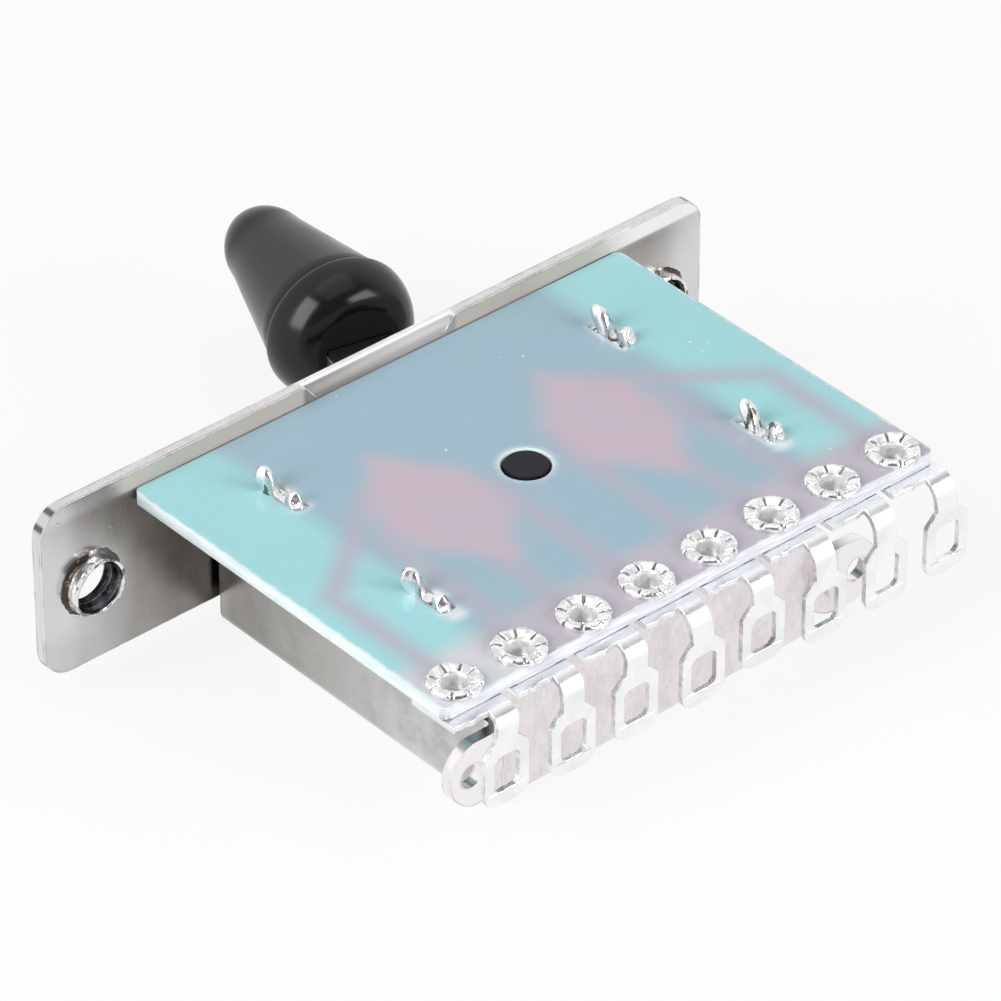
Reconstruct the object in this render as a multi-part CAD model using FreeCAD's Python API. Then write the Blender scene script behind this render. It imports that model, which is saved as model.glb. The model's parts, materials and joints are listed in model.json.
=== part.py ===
"""Lever selector switch for an electric guitar: folded case, circuit board and swinging lever.

Frame: the origin is midway between the two mounting holes, on the outer face of the
mounting plate. +X runs along the plate, +Y points out of the plate towards the knob,
+Z points out of the circuit board. Millimetres.
"""
import FreeCAD
import Part
import math
import os

V = FreeCAD.Vector
X_AXIS = V(1, 0, 0)
Y_AXIS = V(0, 1, 0)
Z_AXIS = V(0, 0, 1)

# Folded case
SHEET = 0.7
BEND_INSIDE = 0.25
BEND_OUTSIDE = BEND_INSIDE + SHEET
CASE_WIDTH = 24.2
CASE_DEPTH = 23.6
BACK_FACE = -6.9
SIDE_GAP = 0.4
END_WALL_TOP = 3.3

# Mounting plate
PLATE_LENGTH = 48.0
PLATE_TOP = 5.85
PLATE_BOTTOM = -5.25
PLATE_CORNER = 1.8
HOLE_SPACING = 41.3
THREAD_MINOR = 1.42
THREAD_MOUTH = 1.76
COLLAR_RADIUS = 2.15
COLLAR_HEIGHT = 0.75
COIN_LENGTH = 10.9
COIN_DEPTH = 0.42
COIN_HEIGHT = 1.1
COIN_RUNOUT = 0.9
COIN_BULGE = 0.1

# Circuit board
BOARD_LENGTH = 35.2
BOARD_THICKNESS = 0.8
BOARD_BOTTOM = 3.95
BOARD_OVERHANG = 3.0
BOARD_PLATE_GAP = 0.08
BOARD_CORNER = 0.45

# Clinched tabs that hold the board
TAB_WIDTH = 1.9
TAB_NEAR = -6.7
TAB_FAR_INSET = 4.75
TAB_SLOT_LENGTH = 2.85
TAB_CLEARANCE = 0.12
LONG_LOBE = 1.3
SHORT_LOBE = 0.95

# Ground lugs
LUG_OVERHANG = 1.0
LUG_CENTRE_Z = -2.65
LUG_RADIUS = 2.1
LUG_REACH = 3.8
LUG_HOLE = 0.75
WALL_END_GAP = 0.95

# Solder terminals
TERMINALS = 8
TERMINAL_PITCH = 4.5
TERMINAL_SHEET = 0.35
EYELET_INSET = 1.35
BASE_WIDTH = 3.9
BASE_BACK = 1.35
BASE_OVERHANG = 0.7
NECK_OFFSET = 1.3
NECK_WIDTH = 1.5
BEND_RADIUS = 1.1
BLADE_OVERHANG = 1.6
LOOP_WIDTH = 3.1
LOOP_TOP = 2.05
LOOP_BOTTOM = -2.1
LOOP_SHOULDER = 0.75
LOOP_CORNER = 0.85
WINDOW_WIDTH = 1.62
WINDOW_HEIGHT = 2.1
WINDOW_TOP = 1.0
WINDOW_CORNER = 0.22

# Eyelets
EYELET_BORE = 0.7
EYELET_WALL = 0.22
EYELET_CLEARANCE = 0.03
EYELET_HEAD = 1.56
EYELET_FLANGE = 1.3
EYELET_FOOT = 0.3
EYELET_CROWN = 0.43
PETALS = 8
PETAL_ANGLE = 40.0

# Copper on the inner face of the board
COPPER = 0.05
TRACK = 0.9
COPPER_GAP = 0.4
EYELET_PAD = 1.3
FIELD_INNER = 3.0
FIELD_MIDDLE = 6.1
FIELD_OUTER = 9.3
FIELD_REACH = 6.2
FIELD_SHOULDER = 2.0
COMMON_EDGE = 6.3
FIRST_TRACK_BELOW = 2.1
SECOND_TRACK_X = -10.35
COMMON_TRACK_X = -2.6

# Rotor and its pivot
PIVOT_FROM_END = 10.65
PIVOT_RADIUS = 1.34
PIVOT_CLEARANCE = 0.06
PIVOT_PROUD = 0.05
PIVOT_CHAMFER = 0.14
HUB_RADIUS = 3.4
HUB_TOP_GAP = 0.15
WASHER_THICKNESS = 0.25
WASHER_RADIUS = 2.9
WASHER_PLAY = 0.05
WING_REACH = 9.2
WING_HALF_WIDTH = 1.7
WING_THICKNESS = 1.4
WING_TOP = 2.8
SOCKET_REACH = 7.0
SOCKET_HALF_WIDTH = 3.5
SOCKET_HALF_HEIGHT = 2.0
DETENT_BOSS_REACH = 7.2
DETENT_BOSS_HALF_WIDTH = 2.4
DETENT_BOSS_HALF_HEIGHT = 2.4

# Lever
LEVER_THICKNESS = 1.2
LEVER_WIDTH = 4.6
LEVER_TIP_WIDTH = 4.0
LEVER_TAIL = 2.1
LEVER_SHOULDER = 19.6
LEVER_END = 29.5
LEVER_FIT = 0.03
LEVER_PIN = 0.6
LEVER_PIN_REACH = 4.9
LEVER_REST = 13.0
LEVER_STEP = 13.0
LEVER_STEPS_EACH_WAY = 2
SLOT_HEIGHT = 2.2
SLOT_END_GAP = 0.35

# Knob
KNOB_BASE = 20.0
KNOB_CREASE = 23.1
KNOB_TIP = 34.5
KNOB_SKIRT_RADIUS = 4.5
KNOB_CREASE_RADIUS = 4.24
KNOB_CREASE_STEP = 0.3
KNOB_DOME_START = 31.4
KNOB_DOME_RADIUS = 2.55
KNOB_NOSE_RADIUS = 2.1
KNOB_SHOULDER_BULGE = 0.26
KNOB_SKIRT_ROUND = 2.2
KNOB_FIT = 0.05

# Detent
BALL_RADIUS = 1.35
BALL_CLEARANCE = 0.05
BALL_PLAY = 0.04
TRACK_RADIUS = 8.4
TRACK_NOTCH = 0.3
NOTCH_RADIUS = 1.45
TRACK_HALF_LENGTH = 6.2
TRACK_TOP = 1.8
SPRING_WIRE = 0.35
SPRING_MEAN_RADIUS = 0.95
SPRING_TURNS = 3.5
SPRING_SEAT = -2.75

# Wipers
WIPER_THICKNESS = 0.2
WIPER_WIDTH = 2.0
WIPER_GAP = 0.08
WIPER_LIFT = 0.85
WIPER_TIP_DROP = 0.3
WIPER_RIVET = 0.5
WIPER_RIVET_HEAD = 0.85
WIPER_RIVET_HEAD_HEIGHT = 0.3
WIPER_INNER = 4.7
WIPER_OUTER = 8.2

SIDE_OUT = CASE_WIDTH / 2
SIDE_IN = SIDE_OUT - SHEET
WALL_END = -(CASE_DEPTH - WALL_END_GAP)
BOARD_TOP = BOARD_BOTTOM + BOARD_THICKNESS
BOARD_FRONT = -(CASE_DEPTH + BOARD_OVERHANG)
TAB_FAR = TAB_FAR_INSET - CASE_DEPTH
LUG_FACE = -(CASE_DEPTH + LUG_OVERHANG)
EYELET_ROW = BOARD_FRONT + EYELET_INSET
BLADE_FACE = BOARD_FRONT - BLADE_OVERHANG
SWING = LEVER_STEP * LEVER_STEPS_EACH_WAY
PIVOT_Y = PIVOT_FROM_END - CASE_DEPTH
PIVOT = V(0, PIVOT_Y, 0)
COPPER_FACE = BOARD_BOTTOM - COPPER
HUB_BOTTOM = BACK_FACE + SHEET + WASHER_THICKNESS + WASHER_PLAY
HUB_TOP = BOARD_BOTTOM - HUB_TOP_GAP
BALL_CENTRE = -(TRACK_RADIUS - BALL_RADIUS - BALL_PLAY)


def box(x0, x1, y0, y1, z0, z1):
    """Block between two corners."""
    return Part.makeBox(x1 - x0, y1 - y0, z1 - z0, V(x0, y0, z0))


def polygon(points):
    """Flat face from corner points."""
    return Part.Face(Part.makePolygon(points + [points[0]]))


def fuse(shapes):
    """One solid from several that meet."""
    return shapes[0].fuse(shapes[1:]).removeSplitter()


def mirrored(shape):
    """The same shape on the other side of the switch."""
    return shape.mirror(V(0, 0, 0), X_AXIS)


def rounded(shape, radius, chosen):
    """Fillet the edges that the test picks out."""
    return shape.makeFillet(radius, [edge for edge in shape.Edges if chosen(edge)])


def runs_along(axis):
    """Test for straight edges that follow an axis."""
    def test(edge):
        straight = isinstance(edge.Curve, (Part.Line, Part.LineSegment))
        return straight and abs(edge.tangentAt(edge.FirstParameter).dot(axis)) > 0.999
    return test


def stadium(centre, half_length, radius, across, normal, depth):
    """Slot-shaped block: two round ends and straight sides."""
    side = normal.cross(across)
    ends = [centre + across * half_length, centre - across * half_length]
    corners = [ends[0] + side * radius, ends[1] + side * radius,
               ends[1] - side * radius, ends[0] - side * radius]
    caps = [Part.makeCylinder(radius, depth, end, normal) for end in ends]
    return fuse([polygon(corners).extrude(normal * depth)] + caps)


def folded_channel(width, left_top, right_top):
    """Cross-section of a sheet bent up at both sides, drawn in X and Z with its back at z = 0."""
    half = width / 2
    outer = box(-half, half, 0, 1, 0, max(left_top, right_top))
    outer = rounded(outer, BEND_OUTSIDE, lambda e: runs_along(Y_AXIS)(e) and e.CenterOfMass.z < SHEET / 2)
    inner = box(-half + SHEET, half - SHEET, 0, 1, SHEET, max(left_top, right_top))
    inner = rounded(inner, BEND_INSIDE,
                    lambda e: runs_along(Y_AXIS)(e) and e.CenterOfMass.z < SHEET + BEND_INSIDE)
    channel = outer.cut(inner)
    low, side = (left_top, -1) if left_top < right_top else (right_top, 1)
    if left_top != right_top:
        spare = box(0, half, 0, 1, low, max(left_top, right_top))
        channel = channel.cut(spare if side > 0 else mirrored(spare))
    return channel


def stretched(channel, start, length):
    """Give a unit-deep cross-section its real depth along Y."""
    section = [face for face in channel.Faces if abs(face.CenterOfMass.y) < 1e-6][0]
    return section.translated(V(0, start, 0)).extrude(V(0, length, 0))


def mounting_hole(x):
    """Tapped hole drawn into a collar, with a bell mouth at its inner end."""
    depth = SHEET + COLLAR_HEIGHT
    bore = Part.makeCylinder(THREAD_MINOR, depth, V(x, 0, 0), -Y_AXIS)
    lead = THREAD_MOUTH - THREAD_MINOR
    mouth = Part.makeCone(THREAD_MINOR, THREAD_MOUTH, lead, V(x, lead - depth, 0), -Y_AXIS)
    return fuse([bore, mouth])


def mounting_plate():
    """Flat plate with tapped collars, lever slot and the coined inner edge."""
    half = PLATE_LENGTH / 2
    plate = box(-half, half, -SHEET, 0, PLATE_BOTTOM, PLATE_TOP)
    plate = rounded(plate, PLATE_CORNER, runs_along(Y_AXIS))
    collars = []
    for side in (-1, 1):
        base = V(side * HOLE_SPACING / 2, -SHEET / 2, 0)
        foot = COLLAR_RADIUS + COLLAR_HEIGHT / 4
        collars.append(Part.makeCone(foot, COLLAR_RADIUS, SHEET / 2 + COLLAR_HEIGHT, base, -Y_AXIS))
    plate = fuse([plate] + collars)
    low, high = V(0, -SHEET, PLATE_TOP - COIN_HEIGHT), V(0, -SHEET + COIN_DEPTH, PLATE_TOP)
    out = V(0, -COIN_HEIGHT, COIN_DEPTH).normalize()
    pressed = Part.Arc(low, (low + high) * 0.5 + out * COIN_BULGE, high).toShape()
    spare = Part.makePolygon([high, V(0, -SHEET, PLATE_TOP + 1), V(0, -2 * SHEET, PLATE_TOP), low])
    wedge = Part.Face(Part.Wire([pressed] + spare.Edges))
    wedge = wedge.extrude(V(COIN_LENGTH, 0, 0)).translated(V(-COIN_LENGTH / 2, 0, 0))
    top, low = COIN_LENGTH / 2, COIN_LENGTH / 2 - COIN_RUNOUT
    window = polygon([V(-low, 0, PLATE_TOP - COIN_HEIGHT), V(low, 0, PLATE_TOP - COIN_HEIGHT),
                      V(top, 0, PLATE_TOP), V(top, 0, PLATE_TOP + 1),
                      V(-top, 0, PLATE_TOP + 1), V(-top, 0, PLATE_TOP)])
    coined = wedge.common(window.extrude(V(0, -2 * SHEET, 0)))
    return plate.cut(coined)


def lever_slot():
    """Slot that lets the lever swing from one end position to the other."""
    swing = math.radians(SWING)
    reach = -PIVOT_Y * math.tan(swing) + LEVER_WIDTH / 2 / math.cos(swing) + SLOT_END_GAP
    radius = SLOT_HEIGHT / 2
    return stadium(V(0, 0, 0), reach - radius, radius, X_AXIS, -Y_AXIS, SHEET)


def clinched_tab(y):
    """Tab on the left side wall, split by a punch into a long and a short lobe."""
    root_z = BOARD_BOTTOM - SHEET
    neck_z = BOARD_TOP - 0.05
    quarter = TAB_WIDTH / 4
    stem = box(-SIDE_OUT, -SIDE_IN, y - TAB_WIDTH / 2, y + TAB_WIDTH / 2, root_z, neck_z)
    pieces = [stem]
    for side, reach in ((1, LONG_LOBE), (-1, SHORT_LOBE)):
        lean = math.radians(32) * side
        along = V(0, math.sin(lean), math.cos(lean))
        start = V(-SIDE_OUT, y + side * quarter, neck_z - quarter)
        lobe = stadium(start + along * reach / 2, reach / 2, quarter, along, X_AXIS, SHEET)
        pieces.append(lobe)
    tab = fuse(pieces)
    return tab


def ground_lug():
    """Tongue of the left side wall, bent outwards, with a round nose and a wire hole."""
    top = LUG_CENTRE_Z + LUG_RADIUS
    low = LUG_CENTRE_Z - LUG_RADIUS
    turn = LUG_FACE + BEND_OUTSIDE
    wall = box(-SIDE_OUT, -SIDE_IN, turn, WALL_END, low, top)
    centre = V(-SIDE_OUT - BEND_INSIDE, turn, low)
    ring = Part.makeCylinder(BEND_OUTSIDE, top - low, centre).cut(
        Part.makeCylinder(BEND_INSIDE, top - low, centre))
    quarter = ring.common(box(centre.x, centre.x + BEND_OUTSIDE, LUG_FACE, turn, low, top))
    nose = V(-SIDE_OUT - LUG_REACH + LUG_RADIUS, LUG_FACE + SHEET, LUG_CENTRE_Z)
    ear = box(nose.x, centre.x, LUG_FACE, LUG_FACE + SHEET, low, top)
    tip = Part.makeCylinder(LUG_RADIUS, SHEET, nose, -Y_AXIS)
    hole = Part.makeCylinder(LUG_HOLE, SHEET, nose, -Y_AXIS)
    return fuse([wall, quarter, ear, tip]).cut(hole)


def bracket():
    """Mounting plate, back, side walls, end wall, tabs and lugs folded from one sheet."""
    height = COPPER_FACE - BACK_FACE
    sides = stretched(folded_channel(CASE_WIDTH, height, height),
                      WALL_END, -SHEET - SIDE_GAP - WALL_END)
    sides = sides.translated(V(0, 0, BACK_FACE))
    ends = folded_channel(CASE_DEPTH, END_WALL_TOP - BACK_FACE, height)
    ends = stretched(ends, 0, CASE_WIDTH - 2 * BEND_OUTSIDE)
    ends.rotate(V(0, 0, 0), Z_AXIS, 90)
    ends = ends.translated(V(SIDE_OUT - BEND_OUTSIDE, -CASE_DEPTH / 2, BACK_FACE))
    fittings = [clinched_tab(TAB_NEAR), clinched_tab(TAB_FAR), ground_lug()]
    pieces = [mounting_plate(), sides, ends] + fittings + [mirrored(one) for one in fittings]
    body = fuse(pieces)
    openings = [lever_slot(), mounting_hole(-HOLE_SPACING / 2), mounting_hole(HOLE_SPACING / 2),
                Part.makeCylinder(PIVOT_RADIUS + PIVOT_CLEARANCE, SHEET, V(0, PIVOT_Y, BACK_FACE))]
    return body.cut(openings)


def terminal_x(index):
    """Place of an eyelet along the board."""
    return (index - (TERMINALS - 1) / 2) * TERMINAL_PITCH


def circuit_board():
    """Board with its pivot hole, tab slots and a row of eyelet holes."""
    half = BOARD_LENGTH / 2
    board = box(-half, half, BOARD_FRONT, -SHEET - BOARD_PLATE_GAP, BOARD_BOTTOM, BOARD_TOP)
    board = rounded(board, BOARD_CORNER, runs_along(Z_AXIS))
    hole = PIVOT_RADIUS + PIVOT_CLEARANCE
    cuts = [Part.makeCylinder(hole, BOARD_THICKNESS, V(0, PIVOT_Y, BOARD_BOTTOM)),
            Part.makeCone(hole, hole + PIVOT_CHAMFER, PIVOT_CHAMFER,
                          V(0, PIVOT_Y, BOARD_TOP - PIVOT_CHAMFER))]
    for index in range(TERMINALS):
        place = V(terminal_x(index), EYELET_ROW, BOARD_BOTTOM)
        cuts.append(Part.makeCylinder(eyelet_hole(), BOARD_THICKNESS, place))
    for y in (TAB_NEAR, TAB_FAR):
        reach = TAB_SLOT_LENGTH / 2
        slot = box(-SIDE_OUT - TAB_CLEARANCE, -SIDE_IN + TAB_CLEARANCE, y - reach, y + reach,
                   BOARD_BOTTOM, BOARD_TOP)
        cuts += [slot, mirrored(slot)]
    return board.cut(cuts)


def eyelet_hole():
    """Radius of the holes that the eyelets pass through."""
    return EYELET_BORE + EYELET_WALL + EYELET_CLEARANCE


def terminal(index):
    """Stamped terminal: riveted base, offset neck bent down, and a loop for the wire."""
    x = terminal_x(index)
    top = COPPER_FACE
    under = top - TERMINAL_SHEET
    neck_x = x + NECK_OFFSET
    right = neck_x + NECK_WIDTH / 2
    left = right - BASE_WIDTH
    front = BOARD_FRONT - BASE_OVERHANG
    base = box(left, right, front, EYELET_ROW + BASE_BACK, under, top)
    turn = BLADE_FACE + BEND_RADIUS
    neck_left, neck_right = neck_x - NECK_WIDTH / 2, neck_x + NECK_WIDTH / 2
    centre = V(neck_left, turn, top - BEND_RADIUS)
    bend = Part.makeCylinder(BEND_RADIUS, NECK_WIDTH, centre, X_AXIS).cut(
        Part.makeCylinder(BEND_RADIUS - TERMINAL_SHEET, NECK_WIDTH, centre, X_AXIS))
    bend = bend.common(box(neck_left, neck_right, BLADE_FACE, turn, top - BEND_RADIUS, top))
    bridge = box(neck_left, neck_right, turn, front + TERMINAL_SHEET, under, top)
    back = BLADE_FACE + TERMINAL_SHEET
    neck = box(neck_left, neck_right, BLADE_FACE, back, LOOP_TOP, top - BEND_RADIUS)
    half = LOOP_WIDTH / 2
    outline = [(-NECK_WIDTH / 2, LOOP_TOP), (NECK_WIDTH / 2, LOOP_TOP),
               (half, LOOP_TOP - LOOP_SHOULDER), (half, LOOP_BOTTOM + LOOP_CORNER),
               (half - LOOP_CORNER, LOOP_BOTTOM), (LOOP_CORNER - half, LOOP_BOTTOM),
               (-half, LOOP_BOTTOM + LOOP_CORNER), (-half, LOOP_TOP - LOOP_SHOULDER)]
    loop = polygon([V(neck_x + px, BLADE_FACE, pz) for px, pz in outline])
    loop = loop.extrude(V(0, TERMINAL_SHEET, 0))
    window = box(neck_x - WINDOW_WIDTH / 2, neck_x + WINDOW_WIDTH / 2, BLADE_FACE, back,
                 WINDOW_TOP - WINDOW_HEIGHT, WINDOW_TOP)
    window = window.makeChamfer(WINDOW_CORNER, [e for e in window.Edges if runs_along(Y_AXIS)(e)])
    hole = Part.makeCylinder(eyelet_hole(), TERMINAL_SHEET, V(x, EYELET_ROW, under))
    return fuse([base, bridge, bend, neck, loop]).cut([window, hole])


def petal(angle):
    """One rolled petal of an eyelet's crown."""
    rise = EYELET_CROWN
    middle = (EYELET_BORE + EYELET_HEAD) / 2
    quarter = (EYELET_HEAD - EYELET_BORE) / 4
    inner = (EYELET_BORE + EYELET_WALL / 8) / math.cos(math.radians(PETAL_ANGLE / 2))
    outline = [V(inner, 0, BOARD_TOP), V(inner, 0, BOARD_TOP + rise / 3),
               V(middle - quarter, 0, BOARD_TOP + rise), V(middle + quarter, 0, BOARD_TOP + rise),
               V(EYELET_HEAD, 0, BOARD_TOP + rise / 3), V(EYELET_HEAD, 0, BOARD_TOP)]
    sections = []
    for side in (-1, 1):
        section = Part.makePolygon(outline + outline[:1])
        section.rotate(V(0, 0, 0), Z_AXIS, angle + side * PETAL_ANGLE / 2)
        sections.append(section)
    return Part.makeLoft(sections, True, True)


def eyelet(index):
    """Tubular rivet with a sloped foot under the terminal and a crown of rolled petals."""
    barrel = EYELET_BORE + EYELET_WALL
    under = COPPER_FACE - TERMINAL_SHEET
    profile = [V(EYELET_BORE, 0, under - EYELET_FOOT), V(EYELET_FLANGE, 0, under),
               V(barrel, 0, under), V(barrel, 0, BOARD_TOP), V(EYELET_BORE, 0, BOARD_TOP)]
    tube = polygon(profile).revolve(V(0, 0, 0), Z_AXIS, 360)
    crown = [petal(step * 360 / PETALS) for step in range(PETALS)]
    return fuse([tube] + crown).translated(V(terminal_x(index), EYELET_ROW, 0))


def polar(radius, angle):
    """Point on the copper's lower face at an angle about the pivot."""
    turn = math.radians(angle)
    return V(radius * math.cos(turn), PIVOT_Y + radius * math.sin(turn), COPPER_FACE)


def contact_field(side, low_angle, high_angle):
    """Part of the six-sided contact field inside or outside the common edge, between two angles."""
    corners = [(FIELD_MIDDLE, FIELD_REACH), (FIELD_OUTER, FIELD_SHOULDER),
               (FIELD_OUTER, -FIELD_SHOULDER), (FIELD_MIDDLE, -FIELD_REACH),
               (FIELD_INNER, -FIELD_SHOULDER), (FIELD_INNER, FIELD_SHOULDER)]
    field = polygon([V(-x, PIVOT_Y + y, COPPER_FACE) for x, y in corners]).extrude(V(0, 0, COPPER))
    edge = COMMON_EDGE + side * COPPER_GAP / 2
    disc = Part.makeCylinder(edge, COPPER, V(0, PIVOT_Y, COPPER_FACE))
    if side < 0:
        return field.common(disc)
    reach = FIELD_OUTER + FIELD_REACH
    sector = polygon([polar(0, 0), polar(reach, low_angle), polar(reach, high_angle)])
    return field.cut(disc).common(sector.extrude(V(0, 0, COPPER)))


def track(points, width):
    """Copper track along straight runs, each carried half a width past its ends."""
    runs = []
    for start, end in zip(points, points[1:]):
        along = (end - start).normalize() * (width / 2)
        side = V(-along.y, along.x, 0)
        first = start - along
        last = end + along
        runs.append(polygon([first + side, last + side, last - side, first - side])
                    .extrude(V(0, 0, COPPER)))
    return fuse(runs)


def left_trace(index):
    """Contact pad, track and eyelet land of one of the four left-hand terminals."""
    x = terminal_x(index)
    end = V(x, EYELET_ROW, COPPER_FACE)
    edge = math.degrees(COPPER_GAP / 2 / WIPER_OUTER)
    step = LEVER_STEP
    turn = EYELET_ROW + EYELET_PAD
    if index == 0:
        pad = contact_field(1, 180 - 5 * step, 180 - step - edge)
        slant = V(-(FIELD_MIDDLE + FIELD_OUTER) / 2, PIVOT_Y + (FIELD_REACH + FIELD_SHOULDER) / 2,
                  COPPER_FACE)
        route = [slant, V(x, PIVOT_Y - FIRST_TRACK_BELOW, COPPER_FACE), end]
    elif index == 1:
        pad = contact_field(1, 180 - step + edge, 180 + step - edge)
        route = [polar(WIPER_OUTER, 180), V(SECOND_TRACK_X, PIVOT_Y, COPPER_FACE),
                 V(SECOND_TRACK_X, turn, COPPER_FACE), end]
    elif index == 2:
        pad = contact_field(1, 180 + step + edge, 180 + 5 * step)
        route = [polar(WIPER_OUTER, 180 + 2 * step + edge), V(x, PIVOT_Y - FIELD_REACH, COPPER_FACE), end]
    else:
        pad = contact_field(-1, 0, 0)
        route = [polar(WIPER_INNER, 180), V(COMMON_TRACK_X, PIVOT_Y, COPPER_FACE),
                 V(COMMON_TRACK_X, turn, COPPER_FACE), end]
    land = box(x - EYELET_PAD, x + EYELET_PAD, EYELET_ROW - EYELET_PAD, turn,
               COPPER_FACE, BOARD_BOTTOM)
    hole = Part.makeCylinder(eyelet_hole(), COPPER, end)
    return fuse([pad, track(route, TRACK), land]).cut(hole)


def trace(index):
    """The right-hand traces mirror the left-hand ones."""
    if index < TERMINALS // 2:
        return left_trace(index)
    return mirrored(left_trace(TERMINALS - 1 - index))


def swung(shape):
    """Turn a piece that is drawn with the lever along +Y to the lever's resting angle."""
    placed = shape.copy()
    placed.rotate(V(0, 0, 0), Z_AXIS, -LEVER_REST)
    return placed.translated(PIVOT)


def lever_blank(clearance):
    """Outline of the lever, grown by a clearance where it sits in another piece."""
    half = LEVER_WIDTH / 2 + clearance
    thick = LEVER_THICKNESS / 2 + clearance
    return box(-half, half, -LEVER_TAIL - clearance, LEVER_SHOULDER, -thick, thick)


def rotor():
    """Moulded carrier with pivots, contact wings, lever socket and detent bore."""
    top = BOARD_TOP + PIVOT_PROUD
    hub = Part.makeCylinder(HUB_RADIUS, HUB_TOP - HUB_BOTTOM, V(0, 0, HUB_BOTTOM))
    spindle = Part.makeCylinder(PIVOT_RADIUS, top - BACK_FACE, V(0, 0, BACK_FACE))
    wings = stadium(V(0, 0, WING_TOP - WING_THICKNESS), WING_REACH - WING_HALF_WIDTH,
                    WING_HALF_WIDTH, X_AXIS, Z_AXIS, WING_THICKNESS)
    socket = box(-SOCKET_HALF_WIDTH, SOCKET_HALF_WIDTH, 0, SOCKET_REACH,
                 -SOCKET_HALF_HEIGHT, SOCKET_HALF_HEIGHT)
    boss = box(-DETENT_BOSS_HALF_WIDTH, DETENT_BOSS_HALF_WIDTH, -DETENT_BOSS_REACH, 0,
               -DETENT_BOSS_HALF_HEIGHT, DETENT_BOSS_HALF_HEIGHT)
    body = fuse([hub, spindle, wings, socket, boss])
    bore = Part.makeCylinder(BALL_RADIUS + BALL_CLEARANCE, DETENT_BOSS_REACH + SPRING_SEAT,
                             V(0, SPRING_SEAT, 0), -Y_AXIS)
    pin = Part.makeCylinder(LEVER_PIN, 2 * SOCKET_HALF_HEIGHT,
                            V(0, LEVER_PIN_REACH, -SOCKET_HALF_HEIGHT))
    rivets = [Part.makeCylinder(WIPER_RIVET, WING_THICKNESS,
                                V(side * wiper_middle(), 0, WING_TOP - WING_THICKNESS))
              for side in (-1, 1)]
    return swung(body.cut([lever_blank(LEVER_FIT), bore, pin] + rivets))


def lever():
    """Flat steel blade with a narrower tip for the knob and a hole for its pin."""
    thick = LEVER_THICKNESS / 2
    tip = box(-LEVER_TIP_WIDTH / 2, LEVER_TIP_WIDTH / 2, LEVER_SHOULDER, LEVER_END, -thick, thick)
    blade = fuse([lever_blank(0), tip])
    at_tip = lambda e: runs_along(Z_AXIS)(e) and e.CenterOfMass.y > LEVER_SHOULDER + 1
    blade = rounded(blade, LEVER_TIP_WIDTH / 4, at_tip)
    pin = Part.makeCylinder(LEVER_PIN, LEVER_THICKNESS, V(0, LEVER_PIN_REACH, -thick))
    return swung(blade.cut(pin))


def lever_pin():
    """Straight pin through the socket and the lever."""
    return swung(Part.makeCylinder(LEVER_PIN, 2 * SOCKET_HALF_HEIGHT,
                                   V(0, LEVER_PIN_REACH, -SOCKET_HALF_HEIGHT)))


def bulged(start, end, height):
    """Arc between two points that stands out from its chord by a height."""
    chord = end - start
    out = V(chord.y, -chord.x, 0).normalize()
    return Part.Arc(start, (start + end) * 0.5 + out * height, end).toShape()


def knob():
    """Tapered barrel with a domed tip and a rounded skirt, turned about the lever."""
    skirt_top = KNOB_CREASE - KNOB_CREASE_STEP
    centre = V(0, KNOB_BASE, 0)
    base = V(KNOB_SKIRT_RADIUS - KNOB_SKIRT_ROUND, KNOB_BASE, 0)
    turn = V(KNOB_SKIRT_RADIUS, KNOB_BASE + KNOB_SKIRT_ROUND, 0)
    round_middle = V(turn.x, base.y, 0) + V(-1, 1, 0) * KNOB_SKIRT_ROUND * (1 - math.sqrt(0.5))
    rim = V(KNOB_SKIRT_RADIUS, skirt_top, 0)
    crease = V(KNOB_CREASE_RADIUS, KNOB_CREASE, 0)
    dome = V(KNOB_DOME_RADIUS, KNOB_DOME_START, 0)
    tip = V(0, KNOB_TIP, 0)
    nose = [tip + V(math.sin(turn), math.cos(turn) - 1, 0) * KNOB_NOSE_RADIUS
            for turn in (math.pi / 8, math.pi / 4)]
    edges = [Part.makeLine(centre, base), Part.Arc(base, round_middle, turn).toShape(),
             Part.makeLine(turn, rim), Part.makeLine(rim, crease), Part.makeLine(crease, dome),
             bulged(dome, nose[1], KNOB_SHOULDER_BULGE),
             Part.Arc(nose[1], nose[0], tip).toShape(), Part.makeLine(tip, centre)]
    body = Part.Face(Part.Wire(edges))
    body = body.revolve(V(0, 0, 0), Y_AXIS, 360)
    half = LEVER_TIP_WIDTH / 2 + KNOB_FIT
    thick = LEVER_THICKNESS / 2 + KNOB_FIT
    slot = box(-half, half, KNOB_BASE, LEVER_END + KNOB_FIT, -thick, thick)
    return swung(body.cut(slot))


def detent_ball():
    """Steel ball that clicks into the notches."""
    return swung(Part.makeSphere(BALL_RADIUS, V(0, BALL_CENTRE, 0)))


def detent_spring():
    """Coil spring between the bottom of the bore and the ball."""
    wire = SPRING_WIRE / 2
    dip = math.sqrt((BALL_RADIUS + wire) ** 2 - SPRING_MEAN_RADIUS ** 2)
    start = SPRING_SEAT - wire
    length = start - (BALL_CENTRE + dip)
    helix = Part.makeHelix(length / SPRING_TURNS, length, SPRING_MEAN_RADIUS)
    corners = [math.radians(90 * corner) for corner in range(5)]
    section = Part.makePolygon([V(SPRING_MEAN_RADIUS + wire * math.cos(turn), 0, wire * math.sin(turn))
                                for turn in corners])
    coil = Part.Wire(helix).makePipeShell([section], True, True)
    coil.rotate(V(0, 0, 0), X_AXIS, 90)
    return swung(coil.translated(V(0, start, 0)))


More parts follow.
